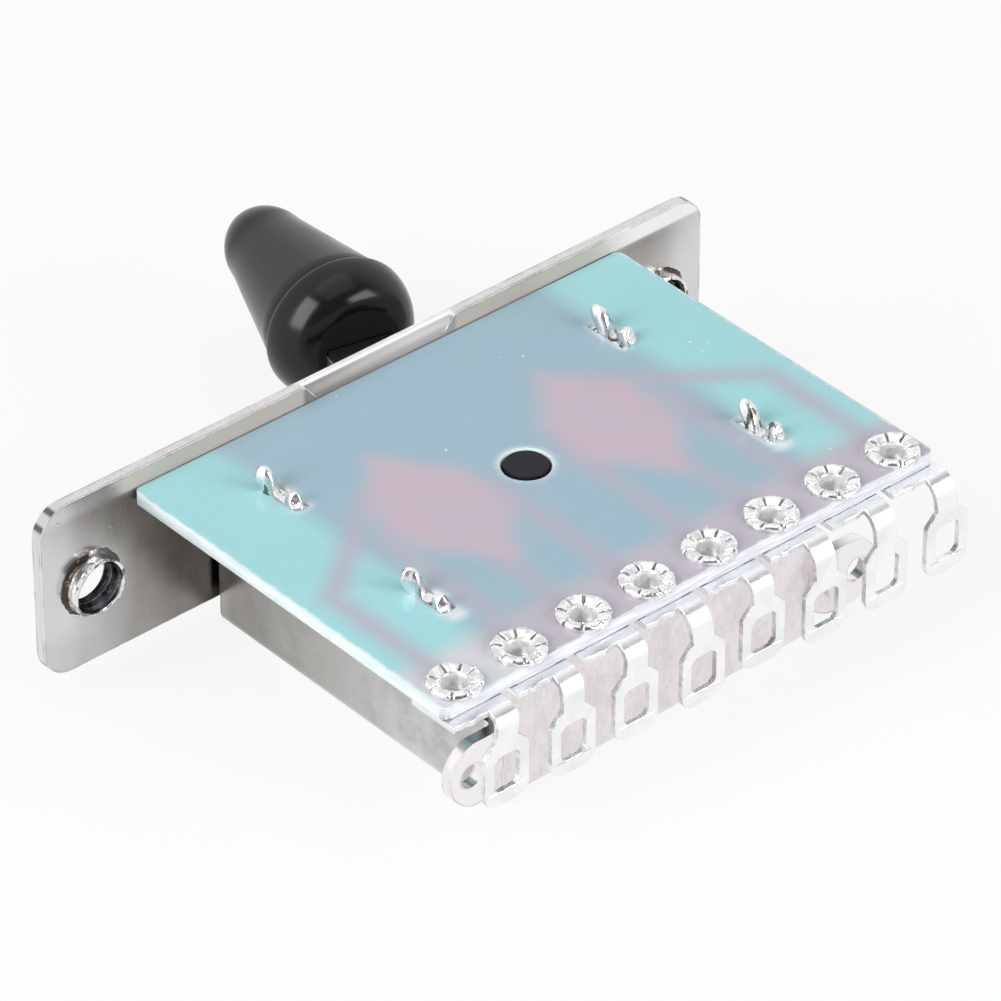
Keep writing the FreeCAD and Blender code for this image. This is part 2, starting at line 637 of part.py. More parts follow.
def detent_track():
    """Moulded block against the end wall, with one notch for each lever position."""
    floor = BACK_FACE + SHEET
    back = -CASE_DEPTH + SHEET
    corner = math.sqrt(TRACK_RADIUS ** 2 - TRACK_HALF_LENGTH ** 2)
    block = box(-TRACK_HALF_LENGTH, TRACK_HALF_LENGTH, back, PIVOT_Y - corner, floor, TRACK_TOP)
    block = rounded(block, BEND_INSIDE + SIDE_GAP,
                    lambda e: runs_along(X_AXIS)(e) and e.CenterOfMass.z < floor + 1
                    and e.CenterOfMass.y < back + 1)
    height = TRACK_TOP - floor
    cuts = [Part.makeCylinder(TRACK_RADIUS, height, V(0, PIVOT_Y, floor))]
    for step in range(-LEVER_STEPS_EACH_WAY, LEVER_STEPS_EACH_WAY + 1):
        place = polar(TRACK_RADIUS + TRACK_NOTCH - NOTCH_RADIUS, -90 + step * LEVER_STEP)
        cuts.append(Part.makeCylinder(NOTCH_RADIUS, height, V(place.x, place.y, floor)))
    return block.cut(cuts)


def thrust_washer():
    """Fibre washer under the rotor's hub."""
    floor = BACK_FACE + SHEET
    disc = Part.makeCylinder(WASHER_RADIUS, WASHER_THICKNESS, V(0, PIVOT_Y, floor))
    hole = PIVOT_RADIUS + PIVOT_CLEARANCE
    return disc.cut(Part.makeCylinder(hole, WASHER_THICKNESS, V(0, PIVOT_Y, floor)))


def wiper_middle():
    """Distance from the pivot to the rivet of a wiper."""
    return (WIPER_INNER + WIPER_OUTER) / 2


def strip(points, thickness, width):
    """Bent strip: a centre line in X and Z, thickened and given its width along Y."""
    offsets = []
    for index, point in enumerate(points):
        before = (point - points[index - 1]).normalize() if index else None
        after = (points[index + 1] - point).normalize() if index < len(points) - 1 else None
        along = ((before or after) + (after or before)).normalize()
        side = V(-along.z, 0, along.x)
        lean = along.dot(after or before)
        offsets.append(side * (thickness / 2 / lean))
    upper = [point + offset for point, offset in zip(points, offsets)]
    lower = [point - offset for point, offset in zip(points, offsets)]
    face = polygon(upper + lower[::-1])
    return face.translated(V(0, -width / 2, 0)).extrude(V(0, width, 0))


def wiper(side):
    """Sprung contact that bridges the common pad and a throw pad."""
    low = WING_TOP + WIPER_THICKNESS / 2
    high = COPPER_FACE - WIPER_GAP - WIPER_THICKNESS / 2
    middle = wiper_middle()
    rest = WIPER_RIVET_HEAD + WIPER_THICKNESS
    half = (WIPER_OUTER - WIPER_INNER) / 2
    tail = half + WIPER_TIP_DROP
    route = [(-tail, high - WIPER_TIP_DROP), (-half, high), (-rest, low),
             (rest, low), (half, high), (tail, high - WIPER_TIP_DROP)]
    body = strip([V(middle + r, 0, z) for r, z in route], WIPER_THICKNESS, WIPER_WIDTH)
    rivet = Part.makeCylinder(WIPER_RIVET, WIPER_LIFT, V(middle, 0, WING_TOP))
    body = body.cut(rivet)
    return swung(body if side > 0 else mirrored(body))


def wiper_rivet(side):
    """Rivet that holds a wiper on its wing."""
    x = side * wiper_middle()
    under = WING_TOP - WING_THICKNESS
    over = WING_TOP + WIPER_THICKNESS
    shank = Part.makeCylinder(WIPER_RIVET, over - under, V(x, 0, under))
    foot = Part.makeCylinder(WIPER_RIVET_HEAD, WIPER_RIVET_HEAD_HEIGHT,
                             V(x, 0, under - WIPER_RIVET_HEAD_HEIGHT))
    head = Part.makeCylinder(WIPER_RIVET_HEAD, WIPER_RIVET_HEAD_HEIGHT, V(x, 0, over))
    return swung(fuse([shank, foot, head]))


def build():
    """Every separate piece of the switch, by name."""
    nodes = {
        "bracket": bracket(),
        "circuit_board": circuit_board(),
        "eyelets": Part.makeCompound([eyelet(index) for index in range(TERMINALS)]),
        "rotor": rotor(),
        "lever": lever(),
        "lever_pin": lever_pin(),
        "knob": knob(),
        "detent_ball": detent_ball(),
        "detent_spring": detent_spring(),
        "detent_track": detent_track(),
        "thrust_washer": thrust_washer(),
        "wiper_left": wiper(-1),
        "wiper_right": wiper(1),
        "wiper_rivets": Part.makeCompound([wiper_rivet(-1), wiper_rivet(1)]),
    }
    for index in range(TERMINALS):
        nodes[f"terminal_{index + 1}"] = terminal(index)
        nodes[f"trace_{index + 1}"] = trace(index)
    return nodes


os.makedirs("parts", exist_ok=True)
for name, shape in build().items():
    shape.exportStep(f"parts/{name}.step")
    print(name, shape.ShapeType, len(shape.Solids), "valid" if shape.isValid() else "INVALID",
          f"{shape.Volume:.3f} mm3")
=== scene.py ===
"""Visual model of a lever selector switch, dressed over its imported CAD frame.

Everything stands in the CAD frame. Sizes below are in millimetres and are turned to
metres where a mesh, lamp or camera is made.
"""
import json
import math
import random
from functools import reduce

import bmesh
import bpy
from mathutils import Matrix, Vector, noise


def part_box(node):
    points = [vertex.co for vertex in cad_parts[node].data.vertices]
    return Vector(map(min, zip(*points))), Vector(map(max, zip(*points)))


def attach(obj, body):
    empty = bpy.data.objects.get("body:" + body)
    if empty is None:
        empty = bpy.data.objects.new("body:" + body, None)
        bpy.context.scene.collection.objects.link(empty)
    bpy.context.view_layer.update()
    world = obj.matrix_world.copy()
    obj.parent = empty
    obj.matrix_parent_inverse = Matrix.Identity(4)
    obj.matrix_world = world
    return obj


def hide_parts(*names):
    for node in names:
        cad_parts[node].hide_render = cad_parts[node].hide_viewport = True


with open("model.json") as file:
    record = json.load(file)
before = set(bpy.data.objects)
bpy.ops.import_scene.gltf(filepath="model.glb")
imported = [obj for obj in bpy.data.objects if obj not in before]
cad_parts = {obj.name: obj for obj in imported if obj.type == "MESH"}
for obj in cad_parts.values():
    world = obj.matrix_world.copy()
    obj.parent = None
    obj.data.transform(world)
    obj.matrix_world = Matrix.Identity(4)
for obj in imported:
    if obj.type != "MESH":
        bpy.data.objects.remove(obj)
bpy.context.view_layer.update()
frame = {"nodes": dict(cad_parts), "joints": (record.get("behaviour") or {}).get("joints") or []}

MM = 0.001
UP = Vector((0, 0, 1))


def node_box(node):
    """Lowest and highest corner of a CAD node, in millimetres."""
    low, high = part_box(node)
    return low / MM, high / MM


# Places read from the frame
BOARD_LOW, BOARD_HIGH = node_box("circuit_board")
BOARD_TOP = BOARD_HIGH.z
PLATE_LOW, PLATE_HIGH = node_box("bracket")
PIVOT = Vector(frame["joints"][0]["pos_m"]) / MM
COPPER_FACE = node_box("trace_1")[0].z
CASE_FLOOR = PLATE_LOW.z

# Case and plate
SHEET = 0.7
SIDE_OUT = 12.1
CASE_DEPTH = 23.6
HOLE_X = 20.65
HOLE_RADIUS = 1.42
HOLE_MOUTH = 1.76
MOUTH_FLARE = 0.1
COLLAR_RADIUS = 2.15
COLLAR_HEIGHT = 0.75
COLLAR_RIM = SHEET + COLLAR_HEIGHT
THREAD_PITCH = 0.7
THREAD_DEPTH = 0.15
PRESSED_EDGE = 0.07
PLATE_BOTTOM = -5.25

# End wall and ground lugs, and how far each is moved from the CAD to its place in the photograph
END_WALL_HALF = 11.15
END_WALL_WIDER = 0.26
LUG_X = 13.8
LUG_Z = -2.65
LUG_HOLE = 0.75
LUG_HOLE_OUT = 0.22
LUG_NOSE = 1.2
LUG_SHORTER = 0.35

# Tabs that hold the board
TAB_PLACES = (-6.7, -18.85)
TAB_SLOT = 2.85
TAB_X = SIDE_OUT - SHEET / 2
TAB_HALF_THICK = 0.4
TAB_HALF_LONG = 1.4
TAB_FOOT = BOARD_TOP - 0.55
TAB_SADDLE = BOARD_TOP - 0.12
# Long and short lobe of a tab: foot along the slot, out of it, lean, height, width, sway, twist
LOBES_LEFT = ((0.95, -0.2, 0.65, 1.3, 1.1, -0.55, 1.0), (-0.8, -0.1, -0.25, 0.52, 1.2, -0.15, -0.5))
LOBES_RIGHT = ((0.15, 0.0, 1.25, 1.35, 0.85, -0.15, 0.8), (-1.0, 0.15, -0.35, 0.72, 1.15, 0.1, -0.6))

# Copper seen through the board
FIELD_MIDDLE = 6.1
FIELD_INNER = 2.9
FIELD_OUTER = 9.4
FIELD_REACH = 6.2
FIELD_SHOULDER = 2.0
TRACK_WIDTH = 1.0
PAINT_GRID = 0.3

# Terminals and eyelets
TERMINALS = 8
PITCH = 4.5
ROW_Y = BOARD_LOW.y + 1.35
TIN_SHEET = 0.35
NECK_OFFSET = 1.3
NECK_WIDTH = 1.5
BASE_WIDTH = 3.9
BEND = 1.1
BLADE_Y = BOARD_LOW.y - 1.6
LOOP_WIDTH = 3.1
LOOP_TOP = 2.05
LOOP_BOTTOM = -2.1
SHOULDER = 0.75
CHIN = 0.85
WINDOW_HALF = 0.88
WINDOW_TOP = 1.08
WINDOW_BOTTOM = -1.2
WINDOW_CORNER = 0.32
EYELET_BORE = 0.7
PETALS = 8
# How far each terminal of the photographed switch is bent off the mean, and off its pitch
TERMINAL_DROP = (0.2, -0.1, 0.05, -0.25, 0.22, -0.35, -0.3, -0.22)
TERMINAL_SLIP = (-0.2, -0.03, -0.07, 0.25, 0.09, 0.2, 0.2, 0.25)

# Rotor, lever and knob, the knob's places along the lever from the pivot
SPINDLE_SLIMMER = 0.94
LEVER_REST = math.radians(13.0)
ALONG_LEVER = Vector((math.sin(LEVER_REST), math.cos(LEVER_REST), 0))
ACROSS_LEVER = Vector((math.cos(LEVER_REST), -math.sin(LEVER_REST), 0))
KNOB_BASE = 20.0
KNOB_TIP = 34.5
KNOB_MOUTH = 2.45
KNOB_NOSE = 2.1
KNOB_SLOT_HALF_WIDE = 2.05
KNOB_SLOT_HALF_THICK = 0.65
KNOB_SLOT_DEPTH = 9.5

# Camera, solved from the photograph
CAMERA_AZIMUTH = -41.05
CAMERA_ELEVATION = 36.04
CAMERA_DISTANCE = 396.6
CAMERA_TARGET = Vector((0.0, -10.82, 1.14))
CAMERA_LENS = 260.1
SENSOR = 36.0

# How far the unlit side of the studio, behind the camera, falls below white in gloss
UNLIT_STUDIO = 0.8

# Colour sockets of the Mix node, by number, because its other kinds share their names
MIX_FIRST, MIX_SECOND, MIX_RESULT = 6, 7, 2


# Shader nodes


class Nodes:
    """Adds nodes to a material, a world or a node group."""

    def __init__(self, tree):
        self.tree = tree

    def feed(self, target, value):
        """Links a socket to an input, or sets the input's own value. A colour leaves out its alpha."""
        if isinstance(value, bpy.types.NodeSocket):
            self.tree.links.new(value, target)
        else:
            target.default_value = (*value, 1) if target.type == "RGBA" else value

    def add(self, kind, inputs=(), **settings):
        """New node with its inputs fed, by name or number, and its settings made."""
        made = self.tree.nodes.new(kind)
        for name, value in settings.items():
            setattr(made, name, value)
        for name, value in dict(inputs).items():
            self.feed(made.inputs[name], value)
        return made

    def new(self, kind, inputs=(), output=0, **settings):
        """One output of a new node."""
        return self.add(kind, inputs, **settings).outputs[output]

    def calc(self, operation, first, second=0.0):
        """One step of arithmetic on values."""
        return self.new("ShaderNodeMath", {0: first, 1: second}, operation=operation)

    def minus(self, first, second):
        """Difference of two values."""
        return self.calc("SUBTRACT", first, second)

    def times(self, *values):
        """Product of values."""
        return reduce(lambda first, second: self.calc("MULTIPLY", first, second), values)

    def most(self, *values):
        """Largest of values."""
        return reduce(lambda first, second: self.calc("MAXIMUM", first, second), values)

    def scaled(self, value, by, plus):
        """A value times a number, plus a number."""
        return self.calc("ADD", self.times(value, by), plus)

    def ramp(self, value, start, end, low=0.0, high=1.0):
        """Smooth step of a value from low to high between start and end."""
        marks = {"Value": value, "From Min": start, "From Max": end, "To Min": low, "To Max": high}
        return self.new("ShaderNodeMapRange", marks, interpolation_type="SMOOTHSTEP")

    def over(self, place, start, end, low=0.0, high=1.0):
        """Smooth step of a place between two marks in millimetres."""
        return self.ramp(place, start * MM, end * MM, low, high)

    def blend(self, amount, first, second):
        """Mix of two colours."""
        colours = {"Factor": amount, MIX_FIRST: first, MIX_SECOND: second}
        return self.new("ShaderNodeMix", colours, MIX_RESULT, data_type="RGBA")

    def place(self):
        """Position on the object in metres, the same in every pose."""
        return self.new("ShaderNodeTexCoord", output="Object")

    def split(self, vector):
        """The three parts of a vector."""
        return self.add("ShaderNodeSeparateXYZ", {0: vector}).outputs

    def stretched(self, *scale):
        """Position scaled along each axis, for grain and brushing."""
        return self.new("ShaderNodeMapping", {"Vector": self.place(), "Scale": scale})

    def noise(self, vector, scale, detail=3.0, roughness=0.5, distortion=0.0):
        """Soft noise from 0 to 1."""
        kind = {"Vector": vector, "Scale": scale, "Detail": detail, "Roughness": roughness,
                "Distortion": distortion}
        return self.new("ShaderNodeTexNoise", kind, "Fac")

    def painted(self, name):
        """Value that the mesh's own points carry."""
        return self.new("ShaderNodeAttribute", output="Fac", attribute_name=name)

    def use(self, group, **values):
        """Outputs of a shared effect, placed with its own values."""
        inputs = {name.replace("_", " "): value for name, value in values.items()}
        return self.add("ShaderNodeGroup", inputs, node_tree=group).outputs


class Look(Nodes):
    """A finish: its material, its shader's inputs, and the nodes that feed them."""

    def __init__(self, name, metallic, roughness):
        self.material = bpy.data.materials.new(name)
        self.material.use_nodes = True
        super().__init__(self.material.node_tree)
        self.shader = self.tree.nodes["Principled BSDF"].inputs
        self.relief = None
        self.set(Metallic=metallic, Roughness=roughness)

    def set(self, **values):
        """Sets or feeds inputs of the shader."""
        for name, value in values.items():
            self.feed(self.shader[name.replace("_", " ")], value)

    def bump(self, height, strength, depth):
        """Relief on the surface, on top of any earlier one, with its depth in millimetres."""
        inputs = {"Height": height, "Strength": strength, "Distance": depth * MM}
        if self.relief is not None:
            inputs["Normal"] = self.relief
        self.relief = self.new("ShaderNodeBump", inputs)
        self.set(Normal=self.relief)


# Shared effects


def effect(name, inputs, outputs):
    """Empty node group with named inputs and outputs: its nodes, what it is given, what it gives."""
    group = bpy.data.node_groups.new(name, "ShaderNodeTree")
    for title, value in inputs.items():
        kind = "NodeSocketVector" if isinstance(value, tuple) else "NodeSocketFloat"
        group.interface.new_socket(name=title, in_out="INPUT", socket_type=kind).default_value = value
    for title in outputs:
        group.interface.new_socket(name=title, in_out="OUTPUT", socket_type="NodeSocketFloat")
    given = group.nodes.new("NodeGroupInput")
    result = group.nodes.new("NodeGroupOutput")
    return Nodes(group), given.outputs, result.inputs


def brushing_effect():
    """Fine drawn lines: a height, and a mask of the deeper ones."""
    nodes, given, result = effect("drawn_lines", {"Stretch": (1.0, 1.0, 1.0), "Fineness": 9000.0},
                                  ["Height", "Deep"])
    where = nodes.new("ShaderNodeVectorMath", {0: nodes.place(), 1: given["Stretch"]}, operation="MULTIPLY")
    fine = nodes.noise(where, given["Fineness"], 4.0, 0.7)
    coarse = nodes.noise(where, nodes.times(given["Fineness"], 0.23), 2.0)
    nodes.feed(result["Height"], nodes.calc("ADD", fine, coarse))
    nodes.feed(result["Deep"], nodes.ramp(coarse, 0.6, 0.72))
    return nodes.tree


def handling_effect():
    """Cloudy smudges and small bright nicks from handling."""
    inputs = {"Smudge Size": 260.0, "Nick Density": 900.0, "Nick Rarity": 0.6}
    nodes, given, result = effect("handling", inputs, ["Smudge", "Nick"])
    where = nodes.place()
    cloud = nodes.noise(where, given["Smudge Size"], 5.0, 0.62, 0.6)
    spots = nodes.new("ShaderNodeTexVoronoi", {"Vector": where, "Scale": given["Nick Density"]}, "Distance",
                      feature="F1")
    rare = nodes.noise(where, nodes.times(given["Nick Density"], 0.35), 1.0)
    rare_enough = nodes.ramp(rare, given["Nick Rarity"], nodes.calc("ADD", given["Nick Rarity"], 0.04))
    nodes.feed(result["Smudge"], nodes.ramp(cloud, 0.38, 0.66))
    nodes.feed(result["Nick"], nodes.times(nodes.ramp(spots, 0.16, 0.07), rare_enough))
    return nodes.tree


def edge_highlight_effect():
    """Masks for a painted highlight along the outer edges, broken up by noise, and for painted shade in a
    narrow band beside them.
    """
    nodes, given, result = effect("painted_edge_highlights", {"Edge Width": 0.00012, "Break Up": 2600.0},
                                  ["Edge", "Beside"])
    where = nodes.place()
    flat = nodes.new("ShaderNodeNewGeometry", output="Normal")

    def turned(width):
        rounded = nodes.new("ShaderNodeBevel", {"Radius": width}, samples=6)
        same = nodes.new("ShaderNodeVectorMath", {0: rounded, 1: flat}, "Value", operation="DOT_PRODUCT")
        return nodes.ramp(same, 0.995, 0.9)

    near = turned(given["Edge Width"])
    wide = turned(nodes.times(given["Edge Width"], 2.4))
    ragged = nodes.ramp(nodes.noise(where, given["Break Up"]), 0.35, 0.6, 0.35, 1.0)
    uneven = nodes.ramp(nodes.noise(where, nodes.times(given["Break Up"], 0.3), 2.0), 0.4, 0.65)
    nodes.feed(result["Edge"], nodes.times(near, ragged))
    nodes.feed(result["Beside"], nodes.times(nodes.most(nodes.minus(wide, near), 0.0), uneven))
    return nodes.tree


def pitting_effect():
    """Small pits and lumps of plating, as a height."""
    nodes, given, result = effect("plated_grain", {"Grain Size": 5200.0, "Lump Size": 1500.0}, ["Height"])
    where = nodes.place()
    fine = nodes.noise(where, given["Grain Size"], 3.0, 0.6)
    lumps = nodes.noise(where, given["Lump Size"], 2.0)
    nodes.feed(result["Height"], nodes.calc("ADD", nodes.times(fine, 0.4), lumps))
    return nodes.tree


DRAWN_LINES = brushing_effect()
HANDLING = handling_effect()
EDGE_HIGHLIGHTS = edge_highlight_effect()
PLATED_GRAIN = pitting_effect()


# Finishes


def plate_painted_shade(look, y, z, away, inner_face):
    """Mask of the brown painted shade on the plate beside the case and below the board's top, and on the
    case's sides.
    """
    slanted = look.minus(look.times(z, 0.8), away)
    on_plate = look.most(look.over(away, 22.8, 14.0), look.over(slanted, -22.0, -14.0, 0.0, 0.8),
                         look.over(z, -1.5, -4.0, 0.0, 0.2))
    on_side = look.times(look.over(away, SIDE_OUT + 0.3, SIDE_OUT + 0.1),
                         look.over(y, -13.0, -2.0, 0.0, 0.55), look.over(y, -0.3, -0.8))
    cloudy = look.ramp(look.noise(look.place(), 150.0, 5.0, 0.6), 0.32, 0.68, 0.82, 1.0)
    streak = look.ramp(look.noise(look.stretched(1.0, 1.0, 0.25), 420.0), 0.35, 0.7, 0.8, 1.0)
    below_board = look.over(z, BOARD_TOP + 0.5, BOARD_TOP - 0.4)
    return look.times(look.most(look.times(on_plate, inner_face), on_side), cloudy, streak, below_board)


def plating_colours(look, y, z, away, smudge, lines):
    """Colour of the plating on the plate, the side walls, the end wall, the cut rim and the lugs, with
    painted shade on the side walls near the plate.
    """
    colour = look.blend(smudge, (0.56, 0.555, 0.55), (0.63, 0.62, 0.62))
    colour = look.blend(look.over(away, 21.2, 22.4, 0.0, 0.5), colour, (0.78, 0.77, 0.78))
    on_wall = look.times(look.over(y, -1.2, -2.2), look.over(away, SIDE_OUT - 0.2, SIDE_OUT - 0.05))
    # Painted shade: the side walls are darker towards the plate.
    wall = look.blend(look.over(y, -7.0, -19.0), (0.41, 0.40, 0.375), (0.63, 0.63, 0.65))
    cloudy = look.ramp(look.noise(look.place(), 420.0, 5.0, 0.65), 0.35, 0.65)
    colour = look.blend(on_wall, colour, look.blend(cloudy, wall, (0.47, 0.465, 0.45)))
    on_end_wall = look.over(y, 0.3 - CASE_DEPTH, 0.1 - CASE_DEPTH)
    brushed = look.use(DRAWN_LINES, Stretch=(0.5, 1.0, 0.28), Fineness=6500.0)["Height"]
    rosy = look.blend(look.ramp(brushed, 0.7, 1.25), (0.73, 0.675, 0.69), (0.84, 0.79, 0.805))
    colour = look.blend(on_end_wall, colour, rosy)
    on_rim = look.most(look.over(away, PLATE_HIGH.x - 0.1, PLATE_HIGH.x - 0.02),
                       look.over(z, PLATE_HIGH.z - 0.08, PLATE_HIGH.z - 0.02))
    rim = look.blend(look.ramp(lines, 0.75, 1.2), (0.66, 0.64, 0.65), (0.75, 0.73, 0.75))
    colour = look.blend(on_rim, colour, rim)
    on_lug = look.times(on_end_wall, look.over(away, SIDE_OUT + 0.2, SIDE_OUT + 0.7))
    return look.blend(on_lug, colour, (0.90, 0.87, 0.90))


def painted_dark_corner_reflection(look, z, away):
    """Mask of the painted dark reflection on the rim where it goes round the plate's corners and turns from
    the light.
    """
    across = look.minus(PLATE_HIGH.x * MM, away)
    upward = look.calc("MINIMUM", look.minus(PLATE_HIGH.z * MM, z), look.minus(z, PLATE_BOTTOM * MM))
    from_corner = look.calc("SQRT", look.calc("ADD", look.times(across, across), look.times(upward, upward)))
    facing = look.split(look.new("ShaderNodeNewGeometry", output="Normal"))["Y"]
    rim_only = look.ramp(look.calc("ABSOLUTE", facing), 0.7, 0.4)
    return look.times(look.over(from_corner, 1.25, 1.05), look.over(from_corner, 0.8, 0.92), rim_only, 0.85)


def case_nickel():
    """Nickel plating on folded steel, with painted shade beside the case, a painted reflection above the
    board, and painted highlights and shade at the edges.
    """
    look = Look("case_nickel", 1.0, 0.2)
    x, y, z = look.split(look.place())
    away = look.calc("ABSOLUTE", x)
    touched = look.use(HANDLING, Smudge_Size=170.0, Nick_Density=1100.0, Nick_Rarity=0.62)
    edges = look.use(EDGE_HIGHLIGHTS, Edge_Width=0.11 * MM, Break_Up=1900.0)
    lines = look.use(DRAWN_LINES, Stretch=(1.0, 1.0, 0.06), Fineness=7000.0)["Height"]
    near_plate = look.over(y, -1.6, -0.95)
    inner_face = look.times(look.over(y, -0.5, -0.62), near_plate)
    above_board = look.over(z, BOARD_TOP - 0.1, BOARD_TOP + 0.1)
    at_crest = look.over(z, PLATE_HIGH.z - 0.2, PLATE_HIGH.z - 0.06)

    colour = plating_colours(look, y, z, away, touched["Smudge"], lines)
    # Painted shade: brown darkening on the plate beside the case and below the board, and on the side walls
    # near the plate.
    painted_shade = plate_painted_shade(look, y, z, away, inner_face)
    colour = look.blend(painted_shade, colour, (0.115, 0.096, 0.072))
    # Painted reflection: the plate's face above the board is painted brown to near white along x and made
    # nearly non-metallic.
    painted_reflection_above_board = look.times(inner_face, above_board, look.over(x, -19.5, -17.5))
    colour = look.blend(painted_reflection_above_board, colour,
                        look.blend(look.over(x, 15.0, 19.5), (0.59, 0.52, 0.46), (0.89, 0.88, 0.87)))
    # Painted shade and painted highlight on the pressed middle of the plate: a dark face toward the board
    # and a near-white band at the crest.
    facing_board = look.times(look.over(y, -0.15, -0.3), above_board)
    pressed = look.times(look.over(away, 5.7, 5.3), look.most(facing_board, at_crest), near_plate)
    shaded_slope = look.blend(look.over(x, -4.0, 5.0), (0.26, 0.24, 0.225), (0.37, 0.36, 0.36))
    colour = look.blend(pressed, colour, look.blend(at_crest, shaded_slope, (0.90, 0.88, 0.89)))
    # Painted shade in a narrow band beside the edges.
    colour = look.blend(look.times(edges["Beside"], 0.8), colour, (0.08, 0.07, 0.065))
    # Painted dark reflection on the rim round the plate's corners.
    painted_dark_reflection = painted_dark_corner_reflection(look, z, away)
    colour = look.blend(painted_dark_reflection, colour, (0.07, 0.06, 0.06))
    # Painted highlight along the edges, left out where the corner bends carry a painted dark reflection.
    bright = look.times(edges["Edge"], look.minus(1.0, painted_dark_reflection))
    matt = look.most(painted_reflection_above_board, pressed)
    rough = look.scaled(touched["Smudge"], 0.06, 0.17)
    look.set(Base_Color=look.blend(bright, colour, (0.96, 0.94, 0.96)),
             Metallic=look.scaled(matt, -0.85, 1.0),
             Roughness=look.calc("ADD", rough, look.times(look.most(painted_shade, matt), 0.14)))
    look.bump(lines, 0.12, 0.02)
    look.bump(touched["Nick"], 0.3, 0.03)
    return look.material


def thread_painted_shade():
    """Dark metal inside the tapped holes, as painted shade in the bore."""
    look = Look("thread_painted_shade", 1.0, 0.28)
    cloud = look.noise(look.place(), 900.0, 4.0, 0.6)
    # Painted shade: very dark metal inside the bore.
    look.set(Base_Color=look.blend(look.ramp(cloud, 0.45, 0.75), (0.045, 0.04, 0.05), (0.3, 0.29, 0.3)))
    look.bump(cloud, 0.3, 0.05)
    return look.material


def drawn_root():
    """Torn skin where a collar was drawn out of the plate: brown on the side away from the case."""
    look = Look("drawn_root", 0.95, 0.3)
    where = look.place()
    cloud = look.noise(where, 1500.0, 4.0, 0.65)
    away = look.calc("ABSOLUTE", look.split(where)["X"])
    clean = look.over(away, HOLE_X - 0.6, HOLE_X + 1.6, 0.16, -0.12)
    stain = look.ramp(look.minus(cloud, clean), 0.36, 0.5)
    look.set(Base_Color=look.blend(stain, (0.50, 0.47, 0.45), (0.075, 0.055, 0.043)))
    look.bump(cloud, 0.6, 0.1)
    return look.material


def terminal_tin():
    """Bright tin over stamped brass, slightly lumpy."""
    look = Look("terminal_tin", 1.0, 0.22)
    touched = look.use(HANDLING, Smudge_Size=420.0, Nick_Density=1600.0)
    edges = look.use(EDGE_HIGHLIGHTS, Edge_Width=0.07 * MM, Break_Up=3000.0)
    grain = look.use(PLATED_GRAIN, Grain_Size=4800.0, Lump_Size=1300.0)
    dull = look.blend(touched["Smudge"], (0.95, 0.95, 0.97), (0.855, 0.855, 0.873))
    # Painted highlight along the terminal's edges.
    look.set(Base_Color=look.blend(edges["Edge"], dull, (0.97, 0.97, 0.98)),
             Roughness=look.scaled(touched["Smudge"], 0.12, 0.22))
    look.bump(grain["Height"], 0.22, 0.05)
    return look.material


def sheared_metal():
    """Torn, bright metal with dark creases: tab ends and collar burrs."""
    look = Look("sheared_metal", 1.0, 0.23)
    streak = look.noise(look.stretched(1.0, 1.0, 0.4), 1500.0, 3.0, 0.6)
    folds = look.noise(look.stretched(1.0, 1.0, 0.55), 1000.0, 1.0)
    look.set(Base_Color=look.blend(look.ramp(streak, 0.57, 0.64), (0.84, 0.83, 0.83), (0.16, 0.15, 0.14)))
    look.bump(folds, 0.8, 0.35)
    look.bump(streak, 0.35, 0.1)
    return look.material


def cut_sides():
    """Grey cut edges of the terminals."""
    look = Look("cut_sides", 1.0, 0.34)
    lines = look.use(DRAWN_LINES, Stretch=(1.0, 1.0, 1.0), Fineness=2600.0)["Height"]
    look.set(Base_Color=look.blend(look.ramp(lines, 0.75, 1.15), (0.52, 0.51, 0.52), (0.92, 0.91, 0.93)))
    look.bump(lines, 0.3, 0.03)
    return look.material


def crimped_tin():
    """Tin on the eyelets, with painted shade in the creases of the crimp, and dull in the bore."""
    look = Look("crimped_tin", 1.0, 0.17)
    bore = look.painted("bore")
    grain = look.use(PLATED_GRAIN, Grain_Size=5200.0, Lump_Size=2100.0)["Height"]
    stained = look.times(look.ramp(grain, 0.78, 0.6), 0.3)
    bright = look.blend(bore, (0.94, 0.93, 0.94), (0.90, 0.89, 0.88))
    # Painted shade in the slits of the crimp, mixed with random dark grain.
    look.set(Base_Color=look.blend(look.most(look.painted("crease_shade"), stained), bright, (0.24, 0.23, 0.24)),
             Metallic=look.scaled(bore, -0.85, 1.0))
    look.bump(grain, 0.35, 0.09)
    return look.material


